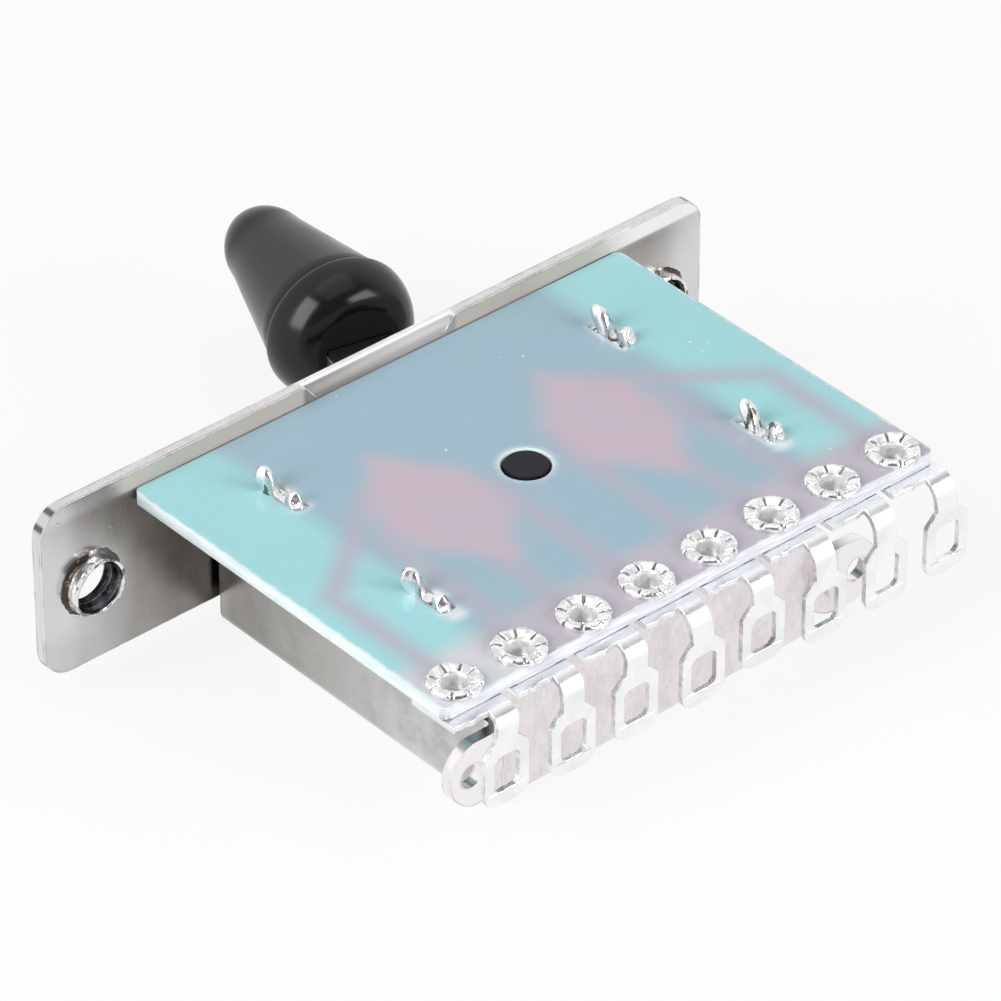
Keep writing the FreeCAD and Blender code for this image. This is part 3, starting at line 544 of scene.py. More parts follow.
def board_laminate():
    """Milky blue laminate with copper showing through, whitened cuts, and painted shade where it lies over
    the case.
    """
    look = Look("board_laminate", 0.0, 0.34)
    where = look.place()
    x, y, _ = look.split(where)
    along = look.noise(look.stretched(1.0, 0.14, 0.03), 2600.0, 2.0, 0.6)
    across = look.noise(look.stretched(0.14, 1.0, 0.03), 2600.0, 2.0, 0.6)
    weave = look.times(look.calc("ADD", along, across), 0.5)
    open_blue = look.blend(weave, (0.335, 0.66, 0.69), (0.40, 0.74, 0.76))
    # Painted shade: the laminate is darker blue where it lies over the case.
    shaded_case_blue = look.blend(weave, (0.31, 0.46, 0.545), (0.37, 0.535, 0.61))
    colour = look.blend(look.painted("shade_over_case"), open_blue, shaded_case_blue)
    strip = look.blend(weave, (0.485, 0.45, 0.515), (0.565, 0.53, 0.59))
    strip = look.blend(look.over(x, -11.0, -13.5), strip, (0.655, 0.67, 0.71))
    colour = look.blend(look.painted("front_strip"), colour, strip)
    mottle = look.ramp(look.noise(where, 240.0), 0.3, 0.75, 0.82, 1.0)
    for name, copper in (("tracks", (0.475, 0.45, 0.535)), ("fields", (0.60, 0.475, 0.545))):
        colour = look.blend(look.times(look.painted(name), mottle), colour, copper)
    inset = look.calc("MINIMUM", look.minus(BOARD_HIGH.x * MM, look.calc("ABSOLUTE", x)),
                      look.minus(y, BOARD_LOW.y * MM))
    ragged = look.ramp(look.noise(where, 1300.0, 4.0, 0.6), 0.3, 0.7, -0.06 * MM, 0.08 * MM)
    rim = look.over(look.calc("ADD", inset, ragged), 0.17, 0.07, 0.0, 0.8)
    colour = look.blend(look.most(look.painted("cut_edge"), rim), colour, (0.80, 0.86, 0.89))
    touched = look.use(HANDLING, Smudge_Size=300.0, Nick_Density=1500.0, Nick_Rarity=0.66)
    look.set(Base_Color=look.blend(touched["Nick"], colour, (0.9, 0.95, 0.97)),
             Roughness=look.scaled(touched["Smudge"], 0.12, 0.3))
    look.bump(weave, 0.12, 0.03)
    return look.material


def board_edge():
    """Sawn rim of the laminate, whitish and layered."""
    look = Look("board_edge", 0.0, 0.45)
    layers = look.ramp(look.noise(look.stretched(0.08, 0.08, 1.0), 5200.0, 2.0, 0.6), 0.35, 0.65)
    side = look.blend(layers, (0.70, 0.84, 0.86), (0.90, 0.95, 0.97))
    front = look.blend(layers, (0.70, 0.71, 0.77), (0.91, 0.92, 0.96))
    in_front = look.over(look.split(look.place())["Y"], BOARD_LOW.y + 0.6, BOARD_LOW.y + 0.3)
    look.set(Base_Color=look.blend(in_front, side, front))
    look.bump(layers, 0.2, 0.04)
    return look.material


def board_underside():
    """Bare lower face of the laminate."""
    look = Look("board_underside", 0.0, 0.4)
    cloud = look.noise(look.place(), 300.0)
    look.set(Base_Color=look.blend(cloud, (0.33, 0.56, 0.6), (0.42, 0.66, 0.69)))
    return look.material


def copper_foil():
    """Etched copper under the board, a little tarnished, tinned where the terminals sit."""
    look = Look("copper_foil", 1.0, 0.35)
    smudge = look.use(HANDLING, Smudge_Size=500.0, Nick_Density=1200.0)["Smudge"]
    copper = look.blend(smudge, (0.78, 0.47, 0.36), (0.6, 0.34, 0.25))
    land = look.over(look.split(look.place())["Y"], ROW_Y + 1.6, ROW_Y + 1.2)
    look.set(Base_Color=look.blend(land, copper, (0.78, 0.78, 0.8)),
             Roughness=look.scaled(smudge, 0.2, 0.25))
    return look.material


def moulding(name, dark, light, roughness, grain_size=1800.0, depth=0.02, gloss=0.5):
    """Plain moulded plastic with a faint grain."""
    look = Look(name, 0.0, roughness)
    cloud = look.noise(look.place(), grain_size)
    patches = look.noise(look.place(), 350.0)
    look.set(Base_Color=look.blend(cloud, dark, light), Specular_IOR_Level=gloss,
             Roughness=look.ramp(patches, 0.3, 0.7, roughness - 0.04, roughness + 0.05))
    look.bump(cloud, 0.08, depth)
    return look.material


def drawn_metal(name, dark, light, roughness, stretch=(1.0, 1.0, 0.05)):
    """Metal with drawing lines, for the lever and the pieces inside the case."""
    look = Look(name, 1.0, roughness)
    lines = look.use(DRAWN_LINES, Stretch=stretch, Fineness=6000.0)
    smudge = look.use(HANDLING, Smudge_Size=300.0, Nick_Density=1000.0)["Smudge"]
    look.set(Base_Color=look.blend(smudge, light, dark),
             Roughness=look.scaled(lines["Deep"], 0.12, roughness))
    look.bump(lines["Height"], 0.2, 0.02)
    return look.material


# Meshes


def finished_mesh(shape, name, sharp_angle=35.0):
    """Turns a shape drawn in millimetres into a smooth-shaded mesh in metres."""
    bmesh.ops.recalc_face_normals(shape, faces=shape.faces)
    bmesh.ops.scale(shape, vec=(MM, MM, MM), verts=shape.verts)
    mesh = bpy.data.meshes.new(name)
    shape.to_mesh(mesh)
    shape.free()
    mesh.shade_smooth()
    mesh.set_sharp_from_angle(angle=math.radians(sharp_angle))
    return mesh


def piece(mesh, body, slot, finishes, *stands_for):
    """Shows a mesh as a piece of the switch, riding on a CAD body."""
    thing = bpy.data.objects.new(mesh.name, mesh)
    bpy.context.collection.objects.link(thing)
    for finish in finishes:
        mesh.materials.append(finish)
    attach(thing, body)
    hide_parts(*stands_for)
    return thing


def case_part(shape, name, sharp_angle, *finishes):
    """Shows a shape as a piece of the folded case."""
    return piece(finished_mesh(shape, name, sharp_angle), "case", "case_steel", finishes, "bracket")


def cad_shape(node):
    """Copy of a CAD node's mesh in millimetres, welded."""
    shape = bmesh.new()
    shape.from_mesh(frame["nodes"][node].data)
    for layers in (shape.loops.layers.float_vector, shape.loops.layers.uv):
        for layer in layers.values():
            layers.remove(layer)
    bmesh.ops.scale(shape, vec=(1 / MM, 1 / MM, 1 / MM), verts=shape.verts)
    bmesh.ops.remove_doubles(shape, verts=shape.verts, dist=0.001)
    return shape


def join_flat_faces(shape):
    """Takes away the edges that lie within flat faces."""
    bmesh.ops.dissolve_limit(shape, angle_limit=math.radians(0.4), verts=shape.verts, edges=shape.edges)


def with_borders(faces):
    """Faces with their edges and vertices, each of them once."""
    edges = dict.fromkeys(edge for face in faces for edge in face.edges)
    verts = dict.fromkeys(vert for face in faces for vert in face.verts)
    return [*faces, *edges, *verts]


def rounded_edges(thing, width, segments=2, angle=30.0):
    """Small round-over on the sharp edges of a piece."""
    softening = thing.modifiers.new("round_over", "BEVEL")
    softening.width = width * MM
    softening.segments = segments
    softening.limit_method = "ANGLE"
    softening.angle_limit = math.radians(angle)
    softening.harden_normals = True


def join_rings(shape, rings):
    """Faces between closed rings of vertices."""
    for lower, upper in zip(rings, rings[1:]):
        for step in range(len(lower)):
            after = (step + 1) % len(lower)
            shape.faces.new((lower[step], lower[after], upper[after], upper[step]))


def lathe(shape, profile, steps, centre, axis=UP, wobble=None):
    """Turns a profile of (radius, height) points about an axis."""
    turn_to = UP.rotation_difference(axis).to_matrix()
    rings = []
    for index, (radius, height) in enumerate(profile):
        ring = []
        for step in range(steps):
            angle = 2 * math.pi * step / steps
            reach, lift = wobble(index, radius, height, angle) if wobble else (radius, height)
            point = Vector((reach * math.cos(angle), reach * math.sin(angle), lift))
            ring.append(shape.verts.new(centre + turn_to @ point))
        rings.append(ring)
    join_rings(shape, rings)
    return rings


def tear(angle, level, spread, finer, share):
    """Ragged value from about -1 to 1, the same for every place round a ring and level."""
    around = Vector((math.cos(angle) * spread, math.sin(angle) * spread, level))
    return noise.noise(around) + share * noise.noise(around * finer)


def held(part):
    """A share held between 0 and 1."""
    return max(0.0, min(1.0, part))


def smooth(part):
    """Smooth step of a share."""
    part = held(part)
    return part * part * (3 - 2 * part)


def arc_between(start, end, bulge, steps):
    """Points of an arc that stands out from its chord by a height, end point left out."""
    chord = end - start
    half = chord.length / 2
    radius = (half * half + bulge * bulge) / (2 * bulge)
    side = Vector((chord.y, -chord.x)).normalized()
    centre = (start + end) / 2 + side * (bulge - radius)
    first = math.atan2(*(start - centre).yx)
    sweep = (math.atan2(*(end - centre).yx) - first + math.pi) % (2 * math.pi) - math.pi
    turns = [first + sweep * step / steps for step in range(steps)]
    return [tuple(centre + radius * Vector((math.cos(turn), math.sin(turn)))) for turn in turns]


# Case


def without_tab_ends(shape):
    """Cuts the four tabs off below the board's face."""
    for side in (-1, 1):
        for y in TAB_PLACES:
            ends = []
            for face in shape.faces:
                middle = face.calc_center_median()
                beside = abs(middle.x - side * TAB_X) < SHEET and abs(middle.y - y) < TAB_SLOT / 2 + 0.6
                if beside and middle.z > 3.0:
                    ends.append(face)
            bmesh.ops.bisect_plane(shape, geom=with_borders(ends), plane_co=(0, 0, BOARD_TOP - 0.25),
                                   plane_no=UP, clear_outer=True)


def without_bores(shape):
    """Takes the plain bores and collars away, so that threads and torn collars can take their place."""
    bores = []
    for face in shape.faces:
        middle = face.calc_center_median()
        off_axis = math.hypot(abs(middle.x) - HOLE_X, middle.z)
        in_bore = off_axis < HOLE_MOUTH - 0.02 and abs(face.normal.y) < 0.9
        if in_bore or (off_axis < COLLAR_RADIUS + 0.3 and middle.y < -SHEET - 0.01):
            bores.append(face)
    bmesh.ops.delete(shape, geom=bores, context="FACES")


def case_piece(nickel):
    """Folded case and plate: the CAD sheet without tab ends and bores, with rounded-over edges."""
    shape = cad_shape("bracket")
    without_tab_ends(shape)
    without_bores(shape)
    join_flat_faces(shape)
    for vert in shape.verts:
        out = abs(vert.co.x)
        if vert.co.y > -CASE_DEPTH + SHEET + 0.05:
            continue
        if abs(out - END_WALL_HALF) < 0.1:
            vert.co.x += math.copysign(END_WALL_WIDER, vert.co.x)
        elif math.hypot(out - LUG_X, vert.co.z - LUG_Z) < LUG_HOLE + 0.1:
            vert.co.x += math.copysign(LUG_HOLE_OUT, vert.co.x)
        elif out > LUG_X:
            vert.co.x -= math.copysign(LUG_SHORTER * min(out - LUG_X, LUG_NOSE) / LUG_NOSE, vert.co.x)
    case = case_part(shape, "folded_case", 28.0, nickel)
    rounded_edges(case, PRESSED_EDGE)


def thread_in_hole(label, centre, inward, shaded_finish):
    """Thread that fades out at both ends of a mounting hole."""
    rows = 44
    shape = bmesh.new()

    def cut_thread(index, radius, height, angle):
        wave = (height / THREAD_PITCH - angle / (2 * math.pi)) % 1.0
        groove = 1 - abs(wave - 0.5) * 2
        fade = min(1.0, height / 0.15, (COLLAR_RIM - MOUTH_FLARE * 0.6 - height) / 0.25)
        return radius + THREAD_DEPTH * groove * max(fade, 0.0), height

    heights = [COLLAR_RIM * row / rows for row in range(rows + 1)]
    profile = [(HOLE_RADIUS + max(height - (COLLAR_RIM - MOUTH_FLARE), 0), height) for height in heights]
    lathe(shape, profile, 72, centre, inward, cut_thread)
    case_part(shape, f"thread_{label}", 25.0, shaded_finish)


def torn_collar(label, centre, inward, seed, torn):
    """Torn lip round the mouth of a collar, with a burr on one side."""
    weights = (0.1, 0.5, 0.8, 1.0, 1.0, 1.0, 0.5)
    burrs = (0, 0, 0, 0.1, 0.2, 0.26, 0.3)
    shape = bmesh.new()

    def torn_lip(index, radius, height, angle):
        rough = weights[index] * tear(angle, index * 0.5 + seed, 2.6, 2.7, 0.5)
        burr = max(0.0, math.cos(angle - math.radians(140))) ** 2 * burrs[index]
        return radius - burr + 0.06 * rough, height + 0.08 * rough

    lip = [(1.82, SHEET + 0.3), (1.78, COLLAR_RIM - 0.22), (1.77, COLLAR_RIM - 0.04),
           (1.72, COLLAR_RIM + 0.05), (1.63, COLLAR_RIM + 0.04), (1.55, COLLAR_RIM - 0.05),
           (1.46, COLLAR_RIM - 0.2)]
    lathe(shape, lip, 120, centre, inward, torn_lip)
    case_part(shape, f"collar_lip_{label}", 50.0, torn)


def collar_root(label, centre, inward, seed, root, sheet):
    """Drawn skin round a collar's foot, and the sheet under it."""
    roughness = ((0.0, 0.0), (0.08, 0.08), (0.1, 0.07), (0.1, 0.03), (0.12, 0.0))
    shape = bmesh.new()

    def ragged_root(index, radius, height, angle):
        rough = tear(angle, index * 0.6 - seed, 3.1, 3.1, 0.6)
        spread, lift = roughness[index]
        return radius + spread * rough, height + lift * rough

    skin = [(1.76, 0.38), (1.84, 0.22), (1.92, 0.12), (2.0, 0.05), (2.1, -0.03)]
    lathe(shape, [(radius, SHEET + height) for radius, height in skin], 120, centre, inward, ragged_root)
    torn_faces = len(shape.faces)
    sheet_edge = COLLAR_RADIUS + COLLAR_HEIGHT / 4 + 0.03
    lathe(shape, [(1.9, SHEET), (sheet_edge, SHEET + 0.004)], 120, centre, inward)
    for number, face in enumerate(shape.faces):
        face.material_index = 1 if number >= torn_faces else 0
    case_part(shape, f"collar_root_{label}", 50.0, root, sheet)


def finger(shape, route, widths, flats, twist, steps_round=14):
    """Sheet-metal finger: a flattened oval carried along a route, with a rounded end."""
    rings = []
    last = len(route) - 1
    for index, point in enumerate(route):
        along = (route[min(index + 1, last)] - route[max(index - 1, 0)]).normalized()
        across = Vector((1, 0, 0))
        across = (across - along * across.dot(along)).normalized()
        across = Matrix.Rotation(twist * index / last, 3, along) @ across
        other = along.cross(across)
        ring = []
        for step in range(steps_round):
            angle = 2 * math.pi * step / steps_round
            thick = math.copysign(abs(math.cos(angle)) ** 0.6, math.cos(angle)) * flats[index] / 2
            wide = math.copysign(abs(math.sin(angle)) ** 0.8, math.sin(angle)) * widths[index] / 2
            ring.append(shape.verts.new(point + across * thick + other * wide))
        rings.append(ring)
    join_rings(shape, rings)
    shape.faces.new(rings[-1])
    shape.faces.new(rings[0][::-1])


def tab_ends(side, y, torn):
    """Tab split by the clinching punch into a long and a short lobe that fill their slot and lean apart."""
    rng = random.Random(round(10 * y) + side)
    shape = bmesh.new()
    x = side * TAB_X
    stem = [[shape.verts.new((x + TAB_HALF_THICK * cx, y + TAB_HALF_LONG * cy, level))
             for cx, cy in ((-1, -1), (1, -1), (1, 1), (-1, 1))] for level in (TAB_FOOT, TAB_SADDLE)]
    shape.faces.new(stem[0][::-1])
    shape.faces.new(stem[1])
    join_rings(shape, stem)
    for foot, out, reach, rise, fat, sway, twist in (LOBES_LEFT if side < 0 else LOBES_RIGHT):
        rise += rng.uniform(-0.06, 0.06)
        route, widths, flats = [], [], []
        for step in range(15):
            part = step / 14
            route.append(Vector((x + out + sway * part, y + foot + reach * part ** 1.15,
                                 TAB_FOOT + (0.5 + rise) * math.sin(part * math.pi / 2))))
            round_end = math.sqrt(max(1 - (max(part - 0.55, 0) / 0.455) ** 2, 0.03))
            widths.append(fat * (0.82 + 0.3 * math.sin(part * math.pi)) * round_end)
            flats.append(0.9 * (1 - 0.2 * part) * round_end)
        finger(shape, route, widths, flats, twist)
    label = f"tab_{'left' if side < 0 else 'right'}_{'near' if y > PIVOT.y else 'far'}"
    tab = case_part(shape, label, 70.0, torn)
    joined = tab.modifiers.new("joined", "REMESH")
    joined.mode = "VOXEL"
    joined.voxel_size = 0.055 * MM
    joined.use_smooth_shade = True
    softened = tab.modifiers.new("softened", "SMOOTH")
    softened.factor = 0.7
    softened.iterations = 6


# Board


def distance_to_run(point, start, end):
    """Distance from a point to a straight run in the plane."""
    run = end - start
    part = held((point - start).dot(run) / run.length_squared)
    return (point - start - run * part).length


def copper_routes():
    """Tracks as they show through the board, each a list of corners."""
    left = [
        [(-8.2, PIVOT.y + 3.44), (-15.75, PIVOT.y - 2.3), (-15.75, ROW_Y)],
        [(-8.2, PIVOT.y), (-10.25, PIVOT.y), (-10.25, -21.5), (-11.25, ROW_Y)],
        [(-6.3, PIVOT.y - 5.0), (-6.75, PIVOT.y - 6.6), (-6.75, ROW_Y)],
        [(-4.0, PIVOT.y), (-2.6, PIVOT.y), (-2.6, -21.5), (-2.25, ROW_Y)],
    ]
    right = [[(-x, y) for x, y in route] for route in left]
    return [[Vector(corner) for corner in route] for route in left + right]


def soft_edge(distance, blur):
    """1 well inside, 0 well outside, and smooth across the edge."""
    return smooth(0.5 - distance / (2 * blur))


def field_distance(point, side):
    """Distance outside a six-sided contact field, negative inside."""
    corners = [(FIELD_MIDDLE, FIELD_REACH), (FIELD_OUTER, FIELD_SHOULDER), (FIELD_OUTER, -FIELD_SHOULDER),
               (FIELD_MIDDLE, -FIELD_REACH), (FIELD_INNER, -FIELD_SHOULDER), (FIELD_INNER, FIELD_SHOULDER)]
    corners = [Vector((side * x, PIVOT.y + y)) for x, y in corners]
    inside = True
    nearest = 1e9
    for start, end in zip(corners, corners[1:] + corners[:1]):
        inside = inside and (end - start).cross(point - start) * side < 0
        nearest = min(nearest, distance_to_run(point, start, end))
    return -nearest if inside else nearest


def slot_distance(point):
    """Distance from the nearest tab slot."""
    across = max(abs(abs(point.x) - TAB_X) - SHEET / 2 - 0.12, 0)
    return min(math.hypot(across, max(abs(point.y - y) - TAB_SLOT / 2, 0)) for y in TAB_PLACES)


def bruise_distance(point):
    """Distance from the whitened marks of the punch at the two tabs nearest the terminals."""
    beside = abs(point.x) - TAB_X
    behind = point.y - TAB_PLACES[1]
    return min(math.hypot(beside / 1.5, behind + 1.95) - 0.42,
               math.hypot((beside + 0.5) / 0.5, behind / 1.6) - 0.5)


def board_piece():
    """Laminate with the copper under it, and painted shade over the case, carried by its upper vertices."""
    shape = cad_shape("circuit_board")
    for axis, normal in enumerate((Vector((1, 0, 0)), Vector((0, 1, 0)))):
        for cut in range(1, int((BOARD_HIGH[axis] - BOARD_LOW[axis]) / PAINT_GRID) + 1):
            upper = [face for face in shape.faces if face.normal.z > 0.9]
            bmesh.ops.bisect_plane(shape, geom=with_borders(upper), plane_no=normal,
                                   plane_co=normal * (BOARD_LOW[axis] + cut * PAINT_GRID))
    for face in shape.faces:
        face.material_index = 0 if face.normal.z > 0.9 else 2 if face.normal.z < -0.9 else 1
    names = ("shade_over_case", "front_strip", "tracks", "fields", "cut_edge")
    layers = {name: shape.verts.layers.float.new(name) for name in names}
    runs = [run for route in copper_routes() for run in zip(route, route[1:])]
    for vert in shape.verts:
        if vert.co.z < BOARD_TOP - 0.2:
            continue
        point = vert.co.xy
        track = min(distance_to_run(point, start, end) for start, end in runs)
        field = min(field_distance(point, -1), field_distance(point, 1))
        cuts = min(slot_distance(point), (point - PIVOT.xy).length - 1.45)
        # Painted shade where the board lies over the case.
        vert[layers["shade_over_case"]] = soft_edge(abs(point.x) - SIDE_OUT + 0.1, 1.1)
        vert[layers["front_strip"]] = soft_edge(point.y + 22.7, 1.0)
        vert[layers["tracks"]] = soft_edge(track - TRACK_WIDTH / 2 - 0.1, 0.95)
        vert[layers["fields"]] = soft_edge(field, 1.05)
        vert[layers["cut_edge"]] = 0.85 * max(soft_edge(cuts - 0.15, 0.32),
                                              soft_edge(bruise_distance(point), 0.3))
    finishes = [board_laminate(), board_edge(), board_underside()]
    piece(finished_mesh(shape, "board", 30.0), "case", "laminate", finishes, "circuit_board")


# Eyelets and terminals


def eyelet_piece(index, metal):
    """Tubular rivet: barrel, foot under the terminal, and a rolled crown cut by uneven slits."""
    rng = random.Random(40 + index)
    shape = bmesh.new()
    centre = Vector(((index - (TERMINALS - 1) / 2) * PITCH, ROW_Y, 0))
    seed = rng.uniform(0, 30)
    spacing = 2 * math.pi / PETALS
    first = rng.random() * spacing
    slits = [(first + (petal + rng.uniform(-0.12, 0.12)) * spacing, rng.uniform(0.035, 0.07),
              rng.choice((0.0, 0.0, 0.03, 0.09, 0.14))) for petal in range(PETALS)]

    def slit_at(radius, angle):
        depth, notch = 0.0, 0.0
        for middle, half, bite in slits:
            turn = (angle - middle + math.pi) % (2 * math.pi) - math.pi
            depth = max(depth, held(2 * (1 - abs(turn) * radius / (half + 0.03))))
            notch = max(notch, bite * (1 - abs(turn) * radius / 0.16))
        return depth, notch

    def crimp(row, radius, height, angle):
        if row < 4:
            return radius, height
        rough = 0.05 * tear(angle, row * 0.25 + seed, 2.2, 2.9, 0.5)
        depth, notch = slit_at(radius, angle)
        on_crown = held((radius - 0.82) / 0.15) * held((1.5 - radius) / 0.1)
        return radius + rough - notch * held((radius - 1.2) / 0.3), height + rough - 0.2 * depth * on_crown

    under, top = COPPER_FACE - TIN_SHEET, BOARD_TOP
    profile = [(1.3, under), (EYELET_BORE + 0.05, under - 0.3), (EYELET_BORE, under - 0.2),
               (EYELET_BORE, top - 0.3), (EYELET_BORE, top + 0.02), (0.74, top + 0.12), (0.82, top + 0.19),
               (0.92, top + 0.24), (1.03, top + 0.28), (1.14, top + 0.32), (1.25, top + 0.36),
               (1.35, top + 0.38), (1.44, top + 0.36), (1.52, top + 0.29), (1.57, top + 0.18),
               (1.58, top + 0.06), (1.56, top - 0.01)]
    lathe(shape, profile, 200, centre, wobble=crimp)
    crease_shade = shape.verts.layers.float.new("crease_shade")
    bore = shape.verts.layers.float.new("bore")
    for vert in shape.verts:
        out = vert.co.xy - centre.xy
        on_crown = 0.84 < out.length < 1.5 and vert.co.z > top
        # Painted shade in the slits of the crown.
        vert[crease_shade] = 0.9 * slit_at(out.length, math.atan2(out.y, out.x))[0] if on_crown else 0.0
        vert[bore] = 1.0 if out.length < 0.8 else 0.0
    piece(finished_mesh(shape, f"eyelet_{index + 1}", 60.0), "case", "tinned_brass", [metal], "eyelets")


def ragged_side(rng, start, end, steps, amount):
    """Points along a sheared edge, each nudged off the line, with the end left out."""
    start, end = Vector(start), Vector(end)
    side = Vector((end.y - start.y, start.x - end.x)).normalized()
    points = []
    for step in range(steps):
        off = 0 if step == 0 else rng.uniform(-amount, amount)
        points.append(start.lerp(end, step / steps) + side * off)
    return points


def terminal_base(shape, rng, right):
    """Sheared base of a terminal, flat under the copper."""
    left = right - BASE_WIDTH
    front = BOARD_LOW.y - 0.7 + rng.uniform(-0.06, 0.06)
    back = ROW_Y + 1.35
    outline = ragged_side(rng, (left, back), (left, front), 8, 0.04)
    outline += ragged_side(rng, (left, front), (right, front), 14, 0.09)
    outline += ragged_side(rng, (right, front), (right, back), 8, 0.03)
    outline += [Vector((right, back))]
    rings = [[shape.verts.new((*corner, level)) for corner in outline]
             for level in (COPPER_FACE - TIN_SHEET, COPPER_FACE)]
    shape.faces.new(rings[0][::-1])
    shape.faces.new(rings[1])
    join_rings(shape, rings)


def blade_half(height):
    """Half width of a terminal's blade at a height."""
    half, neck = LOOP_WIDTH / 2, NECK_WIDTH / 2
    if height > LOOP_TOP - 0.05:
        return neck
    if height > LOOP_TOP - SHOULDER - 0.05:
        return neck + (half - neck) * min(1, (LOOP_TOP - height) / SHOULDER) ** 0.8
    if height > LOOP_BOTTOM + CHIN + 0.01:
        return half
    low = 1 - (height - LOOP_BOTTOM) / CHIN
    return half - 0.9 * (1 - math.sqrt(max(1 - low * low, 0)))


def window_half(height):
    """Half width of the window in the blade at a height, or None above and below it."""
    if not WINDOW_BOTTOM <= height <= WINDOW_TOP:
        return None
    near = min(WINDOW_TOP - height, height - WINDOW_BOTTOM)
    return WINDOW_HALF - WINDOW_CORNER * (1 - min(near / WINDOW_CORNER, 1)) ** 1.4


def terminal_stations():
    """Down a terminal's front: place, way out, half width, and half width of the window."""
    middle = Vector((BLADE_Y + BEND, COPPER_FACE - BEND))
    stations = [(middle + Vector((0.35, BEND - 0.03)), Vector((0, 1)), NECK_WIDTH / 2, None)]
    for step in range(9):
        angle = math.pi / 2 * step / 8
        out = Vector((-math.sin(angle), math.cos(angle)))
        stations.append((middle + out * BEND, out, NECK_WIDTH / 2, None))
    heights = [LOOP_TOP + 0.35, LOOP_TOP, LOOP_TOP - 0.1, LOOP_TOP - SHOULDER, WINDOW_TOP, WINDOW_TOP - 0.06,
               WINDOW_TOP - 0.18, WINDOW_TOP - WINDOW_CORNER, (WINDOW_TOP + WINDOW_BOTTOM) / 2,
               WINDOW_BOTTOM + WINDOW_CORNER, WINDOW_BOTTOM + 0.18, WINDOW_BOTTOM + 0.06, WINDOW_BOTTOM,
               LOOP_BOTTOM + CHIN, LOOP_BOTTOM + 0.55, LOOP_BOTTOM + 0.25, LOOP_BOTTOM + 0.08, LOOP_BOTTOM]
    return stations + [(Vector((BLADE_Y, height)), Vector((-1, 0)), blade_half(height), window_half(height))
                       for height in heights]


def terminal_strip(shape, neck_x, slip, drop):
    """Neck, bend and blade of a terminal, bent aside and down as photographed."""
    grid = []
    for spot, out, outer, window in terminal_stations():
        fall = COPPER_FACE - spot.y
        shift = neck_x + slip * smooth(fall / 2.2)
        sink = drop * held(fall / 1.6)
        inner = outer * 0.5 if window is None else window
        front, back = [[shape.verts.new((shift + x, place.x, place.y + sink))
                        for x in (-outer, -inner, inner, outer)] for place in (spot, spot - out * TIN_SHEET)]
        grid.append((front, back, window is not None))
    for (front_a, back_a, hole_a), (front_b, back_b, hole_b) in zip(grid, grid[1:]):
        open_middle = hole_a and hole_b
        for column in (0, 2) if open_middle else (0, 1, 2):
            shape.faces.new((front_a[column], front_b[column], front_b[column + 1], front_a[column + 1]))
            shape.faces.new((back_a[column + 1], back_b[column + 1], back_b[column], back_a[column]))
        shape.faces.new((front_a[0], back_a[0], back_b[0], front_b[0]))
        shape.faces.new((front_b[3], back_b[3], back_a[3], front_a[3]))
        if open_middle:
            shape.faces.new((front_b[1], back_b[1], back_a[1], front_a[1]))
            shape.faces.new((front_a[2], back_a[2], back_b[2], front_b[2]))
        elif hole_b:
            shape.faces.new((front_b[1], front_b[2], back_b[2], back_b[1]))
        elif hole_a:
            shape.faces.new((front_a[2], front_a[1], back_a[1], back_a[2]))
    for front, back, _ in (grid[0], grid[-1]):
        for column in range(3):
            shape.faces.new((front[column], front[column + 1], back[column + 1], back[column]))


def terminal_piece(index, finishes):
    """Stamped terminal: ragged base under the board, neck rolled over, loop with its window."""
    shape = bmesh.new()
    neck_x = (index - (TERMINALS - 1) / 2) * PITCH + NECK_OFFSET
    drop = TERMINAL_DROP[index]
    terminal_base(shape, random.Random(100 + index), neck_x + NECK_WIDTH / 2 + 0.02)
    base_faces = len(shape.faces)
    terminal_strip(shape, neck_x, TERMINAL_SLIP[index], drop)
    shape.normal_update()
    for number, face in enumerate(shape.faces):
        sill = face.calc_center_median().z < LOOP_TOP + drop and abs(face.normal.z) > 0.5
        face.material_index = 1 if number >= base_faces and (abs(face.normal.x) > 0.3 or sill) else 0
    terminal = piece(finished_mesh(shape, f"solder_terminal_{index + 1}", 32.0), "case", "tinned_brass",
                     finishes, f"terminal_{index + 1}")
    rounded_edges(terminal, 0.05, 2, 35.0)


# Knob, lever and rotor


def knob_profile():
    """Radius and place along the lever: bulb, groove, tapered barrel, rounded shoulder and nose."""
    bulge, length = 2.05, 2.75
    barrel_foot, barrel_end = Vector((4.24, 23.18)), Vector((2.55, 31.4))
    eighth = math.pi / 4
    nose_centre = KNOB_TIP - KNOB_NOSE
    join = Vector((KNOB_NOSE * math.sin(eighth), nose_centre + KNOB_NOSE * math.cos(eighth)))
    profile = [(KNOB_MOUTH + bulge * math.sin(turn), KNOB_BASE + length * (1 - math.cos(turn)))
               for turn in (math.pi / 2 * step / 20 for step in range(21))]
    profile += [(4.47, 22.87), (4.4, 22.94), (4.29, 22.98), (4.22, 23.03), (4.21, 23.1), tuple(barrel_foot)]
    profile += [tuple(barrel_foot.lerp(barrel_end, step / 8)) for step in range(1, 8)]
    profile += arc_between(barrel_end, join, 0.26, 10)
    profile += [(KNOB_NOSE * math.sin(turn), nose_centre + KNOB_NOSE * math.cos(turn))
                for turn in (eighth * (1 - step / 8) for step in range(8))]
    return profile


